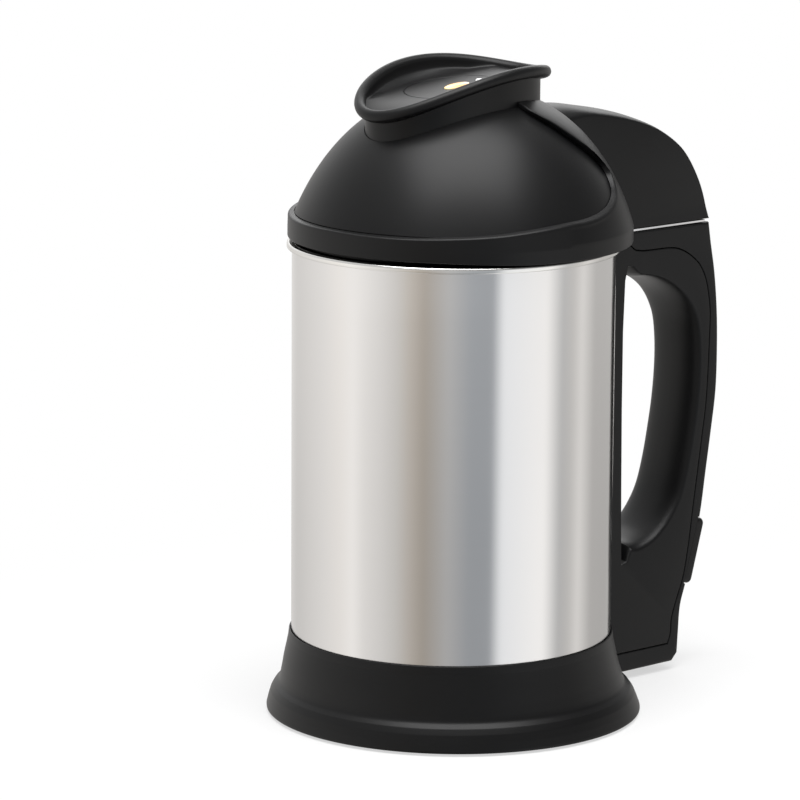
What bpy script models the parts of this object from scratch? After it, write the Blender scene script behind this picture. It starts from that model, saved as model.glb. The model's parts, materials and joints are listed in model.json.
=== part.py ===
"""Nut milk maker: a motor head with a saddle-shaped control panel sits on a steel jug.

The jug has a flared base, a double wall with a heater under it, and a loop handle that carries the
power inlet. The head lifts off, and holds the motor, the blade and a twist-off filter cup.
Metres, +Z up, handle towards +X. The assembly empty stands on the jug's axis, and heights are
measured from the base's lower edge, which the feet hold a little above the ground.
"""

import math

import bmesh
import bpy
from mathutils import Vector

# Fits shared by all pieces
SEAT_GAP = 0.0003
RUNNING_GAP = 0.0006
CUT_OVERRUN = 0.003
WELD_DISTANCE = 0.00001

# Facets of round pieces
BODY_STEPS = 40
POD_STEPS = 24
SMALL_STEPS = 12
CURVE_STEPS = 3

# Jug walls
BODY_RADIUS = 0.0690
SHELL_WALL = 0.0008
SHELL_FOOT = 0.0257
JACKET_GAP = 0.0040
VESSEL_WALL = 0.0010
VESSEL_FLOOR = 0.0420
VESSEL_CORNER = 0.0140
RIM_TOP = 0.2036
RIM_OVERHANG = 0.0022
RIM_HEIGHT = 0.0066
RIM_CURL = 0.0024

# Base
SKIRT_HEIGHT = 0.0346
SKIRT_FLARE = 0.01065
SKIRT_WALL = 0.0024
SKIRT_LEAN = 0.0018
SKIRT_LEAN_TOP = 0.0220
SKIRT_LIP = 0.0010
SKIRT_LEDGE = 0.0034
# Outer outline from the top lip down: share of the flare beyond the lip, share of the height
SKIRT_OUTLINE_SHARES = (
    (0.00, 0.90), (0.19, 0.64), (0.38, 0.42), (0.50, 0.335), (0.69, 0.27), (0.81, 0.22), (0.91, 0.10),
    (1.00, 0.02))
COVER_INSET = 0.00425
COVER_WALL = 0.0020
COVER_RECESS = 0.0012
COVER_RIM = 0.0028
COVER_TAPER = 0.0012
FOOT_RADIUS = 0.0080
FOOT_PROUD = 0.0015
FOOT_TAPER = 0.0008
FOOT_INSET = 0.02095
FOOT_COUNT = 4
BOSS_RADIUS = 0.0040
BOSS_INSET = 0.0022
SCREW_COUNT = 3
SCREW_RADIUS = 0.0015
SCREW_HEAD_RADIUS = 0.0029
SCREW_HEAD_HEIGHT = 0.0009
SCREW_LENGTH = 0.0120
SCREW_BORE_GAP = 0.0003

# Heater
HEATER_PLATE_INSET = 0.0070
HEATER_PLATE_THICKNESS = 0.0030
ELEMENT_INSET = 0.0110
ELEMENT_TUBE_RADIUS = 0.0032
ELEMENT_OPENING = math.radians(50)
ELEMENT_POINTS = 20
TERMINAL_DROP = 0.0060
THERMOSTAT_RADIUS = 0.0085
THERMOSTAT_FLANGE = 0.0120
THERMOSTAT_HEIGHT = 0.0100
THERMOSTAT_FLANGE_THICKNESS = 0.0012

# Handle
HANDLE_REACH = 0.1458
HANDLE_TOP = 0.1998
HANDLE_FOOT = 0.0023
HANDLE_HALF_WIDTH = 0.0150
HANDLE_ROOT_INSET = 0.0030
GRIP_EDGE_ROUND = 0.0026
SPINE_EDGE_ROUND = 0.0018
# Handle outlines: share of the way from the steel wall to the reach, share of the handle's height
SPINE_BACK_SHARES = (
    (0.911, 1.000), (0.932, 0.952), (0.965, 0.887), (0.992, 0.795), (1.000, 0.703), (0.994, 0.611),
    (0.962, 0.520), (0.926, 0.430), (0.885, 0.330), (0.775, 0.174), (0.736, 0.127), (0.719, 0.063),
    (0.712, 0.015), (0.671, 0.000))
SEAM_SHARES = (
    (0.277, 0.970), (0.323, 0.958), (0.617, 0.952), (0.691, 0.944), (0.766, 0.928), (0.833, 0.906),
    (0.882, 0.874), (0.911, 0.833), (0.925, 0.794), (0.923, 0.741), (0.906, 0.595), (0.872, 0.500),
    (0.815, 0.354), (0.780, 0.261), (0.742, 0.192), (0.693, 0.145), (0.654, 0.102), (0.646, 0.067),
    (0.626, 0.045))
HOLE_FLARE = 0.0045
HOLE_FLARE_STEPS = 3
# Finger hole at mid-width, as above, and how much of the flare each place has at the sides
FINGER_HOLE_SHARES = (
    (0.249, 0.893, 0.2), (0.365, 0.894, 0.5), (0.488, 0.884, 0.6), (0.612, 0.862, 0.7),
    (0.701, 0.834, 0.8), (0.763, 0.798, 0.9), (0.798, 0.755, 1), (0.811, 0.705, 1), (0.809, 0.647, 1),
    (0.792, 0.580, 1), (0.763, 0.516, 1), (0.728, 0.453, 1), (0.680, 0.394, 1), (0.607, 0.350, 1),
    (0.501, 0.313, 1), (0.397, 0.296, 1), (0.310, 0.294, 0.8), (0.249, 0.301, 0.2))
TRIM_THICKNESS = 0.0010
TRIM_HALF_WIDTH = 0.0146
TRIM_ROOT_GAP = 0.0100
TRIM_END_INSET = 0.0098
HANDLE_SCREW_HEIGHTS = (0.0480, 0.1860)
HANDLE_SCREW_RADIUS = 0.0020
HANDLE_SCREW_HEAD_RADIUS = 0.0042
HANDLE_SCREW_HEAD_HEIGHT = 0.0018
HANDLE_SCREW_LENGTH = 0.0120

# Power inlet on the handle's back
INLET_HEIGHT = 0.0514
INLET_FLANGE_LENGTH = 0.0300
INLET_FLANGE_WIDTH = 0.0296
INLET_BODY_LENGTH = 0.0270
INLET_BODY_WIDTH = 0.0200
INLET_BODY_DEPTH = 0.0150
INLET_PROUD = 0.0030
INLET_SUNK = 0.0016
INLET_CHAMFER = 0.0012
INLET_SOCKET_LENGTH = 0.0236
INLET_SOCKET_WIDTH = 0.0164
INLET_SOCKET_DEPTH = 0.0150
INLET_CORNER = 0.0040
INLET_PIN_LENGTH = 0.0110
INLET_PIN_SIZE = (0.0024, 0.0044)
INLET_PIN_PITCH = 0.0070
INLET_EARTH_OFFSET = 0.0038

# Coupler between head and handle
COUPLER_X_SHARE = 0.4557
COUPLER_LENGTH = 0.0240
COUPLER_WIDTH = 0.0140
SOCKET_DEPTH = 0.0120
COUPLER_PIN_RADIUS = 0.0015
COUPLER_PIN_PITCH = 0.0072
COUPLER_PIN_REACH = 0.0085
COUPLER_PIN_ROOT = 0.0040
COUPLER_HOLE_GAP = 0.0004
PLUG_DEPTH = 0.0060

# Head: skirt and outer hood, whose axis lies a little nearer the handle than the jug's
HOOD_AXIS_X = 0.0036
HOOD_OVERHANG = 0.00465
HOOD_SPREAD = 0.0061
HOOD_HEIGHT_AXIS = 0.1090
HOOD_SKIRT_HEIGHT = 0.0071
HOOD_SQUARENESS_SHARE = 2.30
HOOD_FOOT_CHAMFER = 0.0008
HOOD_SHOULDER = 0.00765
HOOD_RIM_WALL = 0.00065
HOOD_STEPS = 12
# Edge of the window that shows the front dome: azimuth about the hood's axis, share of the hood's height,
# and how steeply the ledge climbs inwards, in degrees
WINDOW_EDGE_SHARES = (
    (180, 0.153, 38), (165, 0.150, 38), (150, 0.152, 38), (135, 0.163, 38), (120, 0.175, 38),
    (107, 0.195, 36), (94, 0.216, 34), (83, 0.227, 36), (74, 0.244, 36), (66, 0.276, 34), (59, 0.318, 28),
    (53, 0.377, 15), (48.8, 0.455, 0), (49.2, 0.530, -20), (54.5, 0.597, -30), (61, 0.664, -30),
    (66, 0.724, -30), (70.8, 0.790, -25), (75.5, 0.843, -25), (77.5, 0.880, -25), (77, 0.915, -25),
    (84, 0.950, -25), (104, 0.968, -25))
WINDOW_EDGE_STEPS = 2
WINDOW_LEDGE_REACH = 0.0070
WINDOW_OUTSIDE_REACH = 0.0030
WINDOW_CENTRE_X = -0.0200
WINDOW_CENTRE_DROP = 0.0249
WINDOW_REACH_SHARE = 2.2
WINDOW_CUTTER_REACH = 0.3000

# Head: rear cap over the handle
CAP_SHORTFALL = 0.0074
CAP_DROP = 0.0119
CAP_ROOT = 0.0300
CAP_EDGE_ROUND = 0.0022
# Cap outline: share of the way from the steel wall to the cap's reach, share of the cap's height
CAP_TOP_SHARES = (
    (1.000, 0.020), (0.955, 0.196), (0.908, 0.320), (0.816, 0.488), (0.723, 0.608), (0.545, 0.751),
    (0.367, 0.843),
    (0.193, 0.903), (0.020, 0.944), (-0.151, 0.981), (-0.313, 0.993))

# Head: front dome
DOME_WIDER = 0.0025
DOME_TALLER = 0.0090
DOME_DROP = 0.0012
DOME_SQUARENESS_SHARE = 2.15
DOME_FOOT_INSET = 0.0030
DOME_WALL = 0.0022
DOME_STEPS = 14
DOME_OPENING = 0.0200

# Head: control panel
PANEL_X = -0.0012
PANEL_LENGTH = 0.0942
PANEL_WIDTH = 0.0670
PANEL_TILT = math.radians(7.4)
PANEL_RIM_RISE = 0.0039
PANEL_SADDLE = 0.0047
PANEL_OVERHANG = 0.0046
PANEL_FLOOR_DROP = 0.0004
PANEL_FLOOR_RADIUS = 0.0225
PANEL_WALL = 0.0025
PANEL_NECK_DROP = 0.0214
PANEL_RIM_THICKNESS = 0.0042
PANEL_LIP = 0.0050
PANEL_DISH_DROP = 0.0026
NOTCH_X = 0.0118
NOTCH_WIDTH = 0.0116
NOTCH_DEPTH = 0.0140
NOTCH_DROP = 0.0099
NOTCH_HEIGHT = 0.0056
INLAY_RADIUS = 0.0209
INLAY_THICKNESS = 0.0008
BUTTON_X = 0.0020
BUTTON_LENGTH = 0.0136
BUTTON_WIDTH = 0.0078
BUTTON_PROUD = 0.0012
BUTTON_FLANGE = 0.0012
BUTTON_GAP = 0.0004
BUTTON_TRAVEL = 0.0010
LIGHT_X = 0.0148
LIGHT_RADIUS = 0.0016
LIGHT_PROUD = 0.0003
BOARD_LENGTH = 0.0520
BOARD_WIDTH = 0.0320
BOARD_THICKNESS = 0.0016
BOARD_DROP = 0.0105
BOARD_POST_RADIUS = 0.0025
BOARD_POST_SPREAD = 0.0200
SWITCH_SIZE = 0.0060

# Head: base that plugs into the jug's mouth
HEAD_BASE_FLANGE_THICKNESS = 0.0022
HEAD_BASE_GAP = 0.0012
HEAD_BASE_FLOOR = 0.1895
HEAD_BASE_WALL = 0.0023
SEAL_GROOVE_DEPTH = 0.0020
SEAL_GROOVE_HEIGHT = 0.0034
SEAL_GROOVE_FOOT = 0.1946
SEAL_LIP = 0.0008
PROBE_INSET = 0.0090
PROBE_RADIUS = 0.0025
PROBE_FLANGE_RADIUS = 0.0050
PROBE_FLANGE_THICKNESS = 0.0015
PROBE_SPREAD = math.radians(32)
OVERFLOW_PROBE_LENGTH = 0.0240
TEMPERATURE_PROBE_LENGTH = 0.1150

# Motor pod and motor
POD_RADIUS_SHARE = 0.4928
POD_WALL = 0.0010
POD_FOOT = 0.1220
POD_FLANGE = 0.0060
BRIDGE_THICKNESS = 0.0028
BRIDGE_HUB_WALL = 0.0024
BRIDGE_HUB_SHELF = 0.0015
LOWER_BRIDGE_FOOT = 0.1290
BEARING_RADIUS = 0.0110
BEARING_HEIGHT = 0.0070
STATOR_BORE_SHARE = 0.5765
STATOR_HEIGHT = 0.0420
ROTOR_AIR_GAP = 0.0008
ROTOR_SHORTFALL = 0.0030
SHAFT_RADIUS = 0.0040
SHAFT_TOP = 0.2120
SHAFT_SHOULDER = 0.0740
STUD_RADIUS = 0.0030
STUD_LENGTH = 0.0095
SHAFT_SEAL_RADIUS = 0.0088
SHAFT_SEAL_HEIGHT = 0.0056
SHAFT_SEAL_FLANGE = 0.0016
FAN_INSET = 0.0080
FAN_HUB_RADIUS = 0.0085
FAN_DISC = 0.0012
FAN_HEIGHT = 0.0080
FAN_BLADE_COUNT = 9

# Blade
BLADE_INSET = 0.0081
BLADE_HUB_RADIUS = 0.0080
BLADE_THICKNESS = 0.0015
BLADE_ROOT_WIDTH = 0.0095
BLADE_TIP_WIDTH = 0.0050
BLADE_RISE = 0.0090
BLADE_FALL = 0.0045
BLADE_ARMS = 4
NUT_RADIUS = 0.0058
NUT_HEIGHT = 0.0110
NUT_CROWN = 0.0025

# Filter cup
COLLAR_WALL = 0.0042
COLLAR_TOP = 0.1345
COLLAR_HEIGHT = 0.0200
MESH_INSET = 0.0031
MESH_WALL = 0.0008
MESH_FOOT = 0.0500
MESH_CORNER = 0.0090
MESH_TUCK = 0.0045
LUG_COUNT = 3
LUG_HEIGHT = 0.0030
LUG_PROUD = 0.0021
LUG_FOOT = 0.1256
LUG_HALF_ANGLE = math.radians(7)
TWIST_RANGE = math.radians(25)
LUG_PLAY = math.radians(1.2)
LUG_STEPS = 2

# Where the jug's axis stands, so that the origin is the middle of the ground outline
SKIRT_RADIUS = BODY_RADIUS + SEAT_GAP + SKIRT_LIP + SKIRT_FLARE
JUG_AXIS_X = (SKIRT_RADIUS - SKIRT_LEAN - HANDLE_REACH) / 2

# Sizes that follow from those above
VESSEL_RADIUS = BODY_RADIUS - JACKET_GAP
RIM_RADIUS = BODY_RADIUS + RIM_OVERHANG
HEATER_PLATE_RADIUS = VESSEL_RADIUS - VESSEL_CORNER - HEATER_PLATE_INSET
ELEMENT_CIRCLE = HEATER_PLATE_RADIUS - ELEMENT_INSET
HOOD_RADIUS = BODY_RADIUS + HOOD_OVERHANG
HOOD_BORE = HOOD_RADIUS - HOOD_SHOULDER
HOOD_RIM_BORE = HOOD_RADIUS - HOOD_RIM_WALL
HEAD_BASE_FLANGE = HOOD_BORE - SEAT_GAP
HEAD_BASE_RADIUS = VESSEL_RADIUS - VESSEL_WALL - HEAD_BASE_GAP
POD_RADIUS = BODY_RADIUS * POD_RADIUS_SHARE
PROBE_CIRCLE = POD_RADIUS + POD_FLANGE + PROBE_INSET
STATOR_BORE = POD_RADIUS * STATOR_BORE_SHARE
FAN_RADIUS = POD_RADIUS - FAN_INSET
MESH_RADIUS = POD_RADIUS + MESH_INSET
BLADE_RADIUS = MESH_RADIUS - BLADE_INSET
COVER_RADIUS = SKIRT_RADIUS - COVER_INSET
FOOT_CIRCLE = SKIRT_RADIUS - FOOT_INSET
BOSS_CIRCLE = BODY_RADIUS - BOSS_INSET
TRIM_START = BODY_RADIUS + TRIM_ROOT_GAP
TRIM_END = HANDLE_REACH - TRIM_END_INSET
COUPLER_X = BODY_RADIUS + (HANDLE_REACH - BODY_RADIUS) * COUPLER_X_SHARE
CAP_REACH = HANDLE_REACH - CAP_SHORTFALL
HEAD_LINE = RIM_TOP + SEAT_GAP
HOOD_SKIRT_TOP = HEAD_LINE + HOOD_SKIRT_HEIGHT
HOOD_WIDTH_AXIS = HOOD_RADIUS + HOOD_SPREAD
HOOD_TURN_SHARE = HOOD_RADIUS / HOOD_WIDTH_AXIS
HOOD_LIFT_SHARE = (1 - HOOD_TURN_SHARE ** HOOD_SQUARENESS_SHARE) ** (1 / HOOD_SQUARENESS_SHARE)
HOOD_CROWN = HOOD_SKIRT_TOP + HOOD_HEIGHT_AXIS * (1 - HOOD_LIFT_SHARE)
DOME_WIDTH_AXIS = HOOD_WIDTH_AXIS + DOME_WIDER
DOME_HEIGHT_AXIS = HOOD_HEIGHT_AXIS + DOME_TALLER
DOME_CROWN = HOOD_CROWN - DOME_DROP
DOME_FOOT_SHARE = (HOOD_RADIUS - DOME_FOOT_INSET) / DOME_WIDTH_AXIS
DOME_LIFT_SHARE = (1 - DOME_FOOT_SHARE ** DOME_SQUARENESS_SHARE) ** (1 / DOME_SQUARENESS_SHARE)
DOME_FOOT = DOME_CROWN - DOME_HEIGHT_AXIS * (1 - DOME_LIFT_SHARE)
CAP_CROWN = HOOD_CROWN - CAP_DROP
WINDOW_CENTRE_HEIGHT = HOOD_CROWN - WINDOW_CENTRE_DROP
PANEL_RIM_HEIGHT = HOOD_CROWN + PANEL_RIM_RISE
PANEL_FLOOR_HEIGHT = HOOD_CROWN - PANEL_FLOOR_DROP
PANEL_NECK_FOOT = HOOD_CROWN - PANEL_NECK_DROP
NOTCH_FOOT = HOOD_CROWN - NOTCH_DROP
SHELL_BORE = BODY_RADIUS - SHELL_WALL
SHELL_TOP = RIM_TOP - VESSEL_WALL - 2 * SEAT_GAP
VESSEL_BORE = VESSEL_RADIUS - VESSEL_WALL
PLATE_TOP = VESSEL_FLOOR - VESSEL_WALL - SEAT_GAP
PLATE_FOOT = PLATE_TOP - HEATER_PLATE_THICKNESS
CAP_FOOT = HANDLE_TOP + TRIM_THICKNESS + 2 * SEAT_GAP
HEAD_FLOOR_TOP = HEAD_BASE_FLOOR + HEAD_BASE_WALL
POD_TOP = HEAD_FLOOR_TOP + SEAT_GAP + POD_WALL
POD_BORE = POD_RADIUS - POD_WALL
LOWER_BRIDGE_TOP = LOWER_BRIDGE_FOOT + BRIDGE_HUB_SHELF + BEARING_HEIGHT + BRIDGE_THICKNESS
STATOR_FOOT = LOWER_BRIDGE_TOP + SEAT_GAP
STATOR_TOP = STATOR_FOOT + STATOR_HEIGHT
UPPER_BRIDGE_FOOT = STATOR_TOP + SEAT_GAP
UPPER_BRIDGE_TOP = UPPER_BRIDGE_FOOT + BRIDGE_THICKNESS + BEARING_HEIGHT
COLLAR_BORE = POD_RADIUS + RUNNING_GAP
COLLAR_RADIUS = COLLAR_BORE + COLLAR_WALL
COLLAR_FOOT = COLLAR_TOP - COLLAR_HEIGHT
PANEL_HALF_LENGTH = PANEL_LENGTH / 2
PANEL_HALF_WIDTH = PANEL_WIDTH / 2
NECK_HALF_LENGTH = PANEL_HALF_LENGTH - PANEL_OVERHANG
NECK_HALF_WIDTH = PANEL_HALF_WIDTH - PANEL_OVERHANG


def make_finish(name, colour, roughness, metallic=0.0):
    """A Principled material in one colour."""
    material = bpy.data.materials.new(name)
    material.use_nodes = True
    shader = material.node_tree.nodes["Principled BSDF"]
    shader.inputs["Base Color"].default_value = (*colour, 1.0)
    shader.inputs["Roughness"].default_value = roughness
    shader.inputs["Metallic"].default_value = metallic
    material.diffuse_color = (*colour, 1.0)
    return material


def make_empty(name, parent=None, location=(0, 0, 0)):
    empty = bpy.data.objects.new(name, None)
    empty.location = location
    empty.parent = parent
    bpy.context.scene.collection.objects.link(empty)
    return empty


def add_object(name, bm, parent, finish=None, location=(0, 0, 0)):
    """Weld and orient a bmesh, and hang it as an object under its parent."""
    bmesh.ops.remove_doubles(bm, verts=bm.verts, dist=WELD_DISTANCE)
    bmesh.ops.recalc_face_normals(bm, faces=bm.faces)
    mesh = bpy.data.meshes.new(name)
    bm.to_mesh(mesh)
    bm.free()
    mesh.shade_smooth()
    mesh.set_sharp_from_angle(angle=math.radians(30))
    if finish:
        mesh.materials.append(finish)
    piece = bpy.data.objects.new(name, mesh)
    piece.location = location
    piece.parent = parent
    bpy.context.scene.collection.objects.link(piece)
    return piece


def as_guide(piece):
    """A cutter or guide, which isn't part of the model."""
    piece.hide_render = True
    piece.display_type = "WIRE"
    return piece


def combine(piece, guide, operation="DIFFERENCE"):
    modifier = piece.modifiers.new(guide.name, "BOOLEAN")
    modifier.operation = operation
    modifier.solver = "EXACT"
    modifier.object = as_guide(guide)


def turned(name, profile, parent, finish=None, steps=BODY_STEPS, centre=(0, 0, 0)):
    """Spin an outline of (radius, height) about the vertical through centre.

    An outline whose ends lie on the axis stays open there. Any other is closed to a ring.
    """
    bm = bmesh.new()
    verts = [bm.verts.new((radius, 0, height)) for radius, height in profile]
    edges = [bm.edges.new(pair) for pair in zip(verts, verts[1:])]
    if profile[0][0] > 0 or profile[-1][0] > 0:
        edges.append(bm.edges.new((verts[-1], verts[0])))
    bmesh.ops.spin(bm, geom=verts + edges, cent=(0, 0, 0), axis=(0, 0, 1), angle=math.tau, steps=steps,
                   use_merge=True)
    return add_object(name, bm, parent, finish, centre)


def lofted(name, rings, parent, finish=None, location=(0, 0, 0)):
    """Join rings of as many points each, and close the first and last one."""
    bm = bmesh.new()
    loops = [[bm.verts.new(point) for point in ring] for ring in rings]
    for low, high in zip(loops, loops[1:]):
        for i, vert in enumerate(low):
            bm.faces.new((low[i - 1], vert, high[i], high[i - 1]))
    bm.faces.new(loops[0])
    bm.faces.new(loops[-1])
    return add_object(name, bm, parent, finish, location)


def turned_sector(name, profile, middle, half_angle, steps, parent):
    """A closed outline of (radius, height) swept about the jug's axis over part of a turn."""
    rings = []
    for i in range(steps + 1):
        angle = middle - half_angle + 2 * half_angle * i / steps
        rings.append([(radius * math.cos(angle), radius * math.sin(angle), height) for radius,
            height in profile])
    return lofted(name, rings, parent)


def block_rings(length, width, low, high):
    """Two rectangles, centred on the origin, at the heights low and high."""
    corners = ((1, 1), (-1, 1), (-1, -1), (1, -1))
    return [[(sx * length / 2, sy * width / 2, height) for sx, sy in corners] for height in (low, high)]


def oval_ring(half_length, half_width, height, steps, centre_x=0):
    """Points round an upright oval at one height."""
    ring = []
    for i in range(steps):
        angle = math.tau * i / steps
        ring.append((centre_x + half_length * math.cos(angle), half_width * math.sin(angle), height))
    return ring


def quarter_arc(centre_radius, centre_height, radius, start, end, steps=CURVE_STEPS):
    """Outline points on an arc, from start to end in degrees."""
    points = []
    for i in range(steps + 1):
        angle = math.radians(start + (end - start) * i / steps)
        points.append((centre_radius + radius * math.cos(angle), centre_height + radius * math.sin(angle)))
    return points


def place_shares(shares, left, right, low, high):
    return [(left + (right - left) * x, low + (high - low) * z) for x, z in shares]


def offset_outline(outline, distances):
    """Move each point of a closed outline of (x, z) outwards by its distance, corners mitred."""
    area = sum(a[0] * b[1] - b[0] * a[1] for a, b in zip(outline, outline[1:] + outline[:1]))
    turn = 1 if area > 0 else -1
    moved = []
    for i, (point, distance) in enumerate(zip(outline, distances)):
        here = Vector(point)
        before = (here - Vector(outline[i - 1])).normalized()
        after = (Vector(outline[(i + 1) % len(outline)]) - here).normalized()
        first = Vector((before.y, -before.x)) * turn
        second = Vector((after.y, -after.x)) * turn
        mitre = (first + second).normalized()
        moved.append(tuple(here + mitre * distance / max(mitre.dot(first), math.cos(math.radians(60)))))
    return moved


def rounding_levels(half_width, edge_round, steps):
    """(Place along Y, inset) from one side of a plate to the other, over quarter rounds of its edges."""
    rise = []
    for i in range(steps + 1):
        angle = math.radians(90) * i / steps
        rise.append((half_width - edge_round * (1 - math.cos(angle)), edge_round * (1 - math.sin(angle))))
    return [(-y, inset) for y, inset in rise] + rise[::-1]


def side_plate(name, outline, hole, half_width, edge_round, parent, finish=None):
    """A plate in the XZ plane, as wide as the handle along Y, with rounded edges.

    A hole is a list of (x, z, share of the flare), drawn at mid-width, and widens towards both sides.
    """
    bm = bmesh.new()
    ends = ([], [])
    walls = []
    if edge_round > 0:
        walls.append([(y, offset_outline(outline, [-inset] * len(outline)))
                      for y, inset in rounding_levels(half_width, edge_round, 2)])
    else:
        walls.append([(-half_width, outline), (half_width, outline)])
    if hole:
        centre_line = [(x, z) for x, z, share in hole]
        walls.append([(y, offset_outline(centre_line, [inset * share for x, z, share in hole]))
                      for y, inset in rounding_levels(half_width, HOLE_FLARE, HOLE_FLARE_STEPS)])
    for levels in walls:
        loops = [[bm.verts.new((x, y, z)) for x, z in points] for y, points in levels]
        for low, high in zip(loops, loops[1:]):
            for i, vert in enumerate(low):
                bm.faces.new((low[i - 1], vert, high[i], high[i - 1]))
        for edges, loop in zip(ends, (loops[0], loops[-1])):
            edges += [bm.edges.get((loop[i - 1], loop[i])) for i in range(len(loop))]
    for edges in ends:
        bmesh.ops.triangle_fill(bm, edges=edges, use_beauty=True, use_dissolve=False)
    return add_object(name, bm, parent, finish)


def skirt_shift(height):
    """How far the base's lower part stands out towards the handle."""
    return SKIRT_LEAN * max(0, 1 - height / SKIRT_LEAN_TOP)


def lean_mesh(piece):
    for vert in piece.data.vertices:
        vert.co.x += skirt_shift(vert.co.z)


def skirt_outline(growth):
    """The base's outside from its lip down, grown by a distance."""
    lip = BODY_RADIUS + SEAT_GAP + SKIRT_LIP
    return [(lip + SKIRT_FLARE * share + growth, SKIRT_HEIGHT * height) for share,
        height in SKIRT_OUTLINE_SHARES]


def skirt_envelope(name, parent):
    """What the base fills, with its seat gap: it trims the handle."""
    outer = skirt_outline(SEAT_GAP)
    outline = [(0, SKIRT_HEIGHT + SEAT_GAP), (outer[0][0], SKIRT_HEIGHT + SEAT_GAP)] + outer
    outline += [(outer[-1][0], -CUT_OVERRUN), (0, -CUT_OVERRUN)]
    envelope = turned(name, outline, parent)
    lean_mesh(envelope)
    return envelope


def body_envelope(name, low, high, parent):
    """A cylinder just larger than the steel body: it hollows what fits against the wall."""
    radius = BODY_RADIUS + SEAT_GAP
    return turned(name, [(0, high), (radius, high), (radius, low), (0, low)], parent)


def rod(name, radius, low, high, parent, finish=None, steps=SMALL_STEPS, centre=(0, 0, 0)):
    return turned(name, [(0, high), (radius, high), (radius, low), (0, low)], parent, finish, steps, centre)


def around(circle, count, first=0.0):
    """Evenly spaced places on a circle about the jug's axis."""
    places = []
    for i in range(count):
        angle = first + math.tau * i / count
        places.append((circle * math.cos(angle), circle * math.sin(angle)))
    return places


def build_base(jug, finishes):
    """Flared base with a ledge for the steel wall, its cover, feet and screws."""
    lip_bore = BODY_RADIUS + SEAT_GAP
    ledge_top = SHELL_FOOT - SEAT_GAP
    ledge_foot = ledge_top - SKIRT_LEDGE
    ledge_bore = SHELL_BORE - SKIRT_WALL
    outer = skirt_outline(0)
    inner = [(radius, height) for radius, height in skirt_outline(-SKIRT_WALL) if height < ledge_foot]
    outline = [(lip_bore, SKIRT_HEIGHT), (lip_bore + SKIRT_LIP / 2, SKIRT_HEIGHT)] + outer
    outline += [(outer[-1][0], 0), (inner[-1][0], 0)] + inner[::-1]
    outline += [(ledge_bore, ledge_foot), (ledge_bore, ledge_top), (lip_bore, ledge_top)]
    skirt = turned("base_skirt", outline, jug, finishes["black_plastic"])
    lean_mesh(skirt)

    cover_foot = COVER_RECESS
    cover_top = cover_foot + COVER_WALL
    rim_bore = COVER_RADIUS - COVER_WALL
    cover = turned("bottom_cover", [
        (0, cover_top), (rim_bore - COVER_TAPER, cover_top), (rim_bore - COVER_TAPER, cover_top + COVER_RIM),
        (COVER_RADIUS - COVER_TAPER, cover_top + COVER_RIM), (COVER_RADIUS, cover_foot), (0, cover_foot)],
        jug, finishes["black_plastic"], centre=(skirt_shift(cover_top), 0, 0))

    for i, (x, y) in enumerate(around(FOOT_CIRCLE, FOOT_COUNT, math.pi / FOOT_COUNT)):
        foot_top = cover_foot - SEAT_GAP
        turned(f"rubber_foot_{i + 1}", [
            (0, foot_top), (FOOT_RADIUS, foot_top), (FOOT_RADIUS, -FOOT_PROUD + FOOT_TAPER),
            (FOOT_RADIUS - FOOT_TAPER, -FOOT_PROUD), (0, -FOOT_PROUD)],
            jug, finishes["rubber"], SMALL_STEPS, (x, y, 0))

    for i, (x, y) in enumerate(around(BOSS_CIRCLE, SCREW_COUNT, math.pi)):
        boss_foot = cover_top + SEAT_GAP
        screw_top = cover_foot + SCREW_LENGTH
        boss = rod(f"boss_{i + 1}", BOSS_RADIUS, boss_foot, ledge_top - SKIRT_WALL / 2, jug, centre=(x, y, 0))
        combine(skirt, boss, "UNION")
        bore = rod(f"screw_bore_{i + 1}", SCREW_RADIUS + SCREW_BORE_GAP, -CUT_OVERRUN,
                   screw_top + SEAT_GAP, jug, centre=(x, y, 0))
        combine(skirt, bore)
        combine(cover, bore)
        turned(f"base_screw_{i + 1}", [
            (0, screw_top), (SCREW_RADIUS, screw_top), (SCREW_RADIUS, cover_foot - SEAT_GAP),
            (SCREW_HEAD_RADIUS, cover_foot - SEAT_GAP),
            (SCREW_HEAD_RADIUS, cover_foot - SEAT_GAP - SCREW_HEAD_HEIGHT / 2),
            (SCREW_RADIUS, cover_foot - SEAT_GAP - SCREW_HEAD_HEIGHT),
            (0, cover_foot - SEAT_GAP - SCREW_HEAD_HEIGHT)],
            jug, finishes["bright_steel"], SMALL_STEPS, (x, y, 0))


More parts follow.
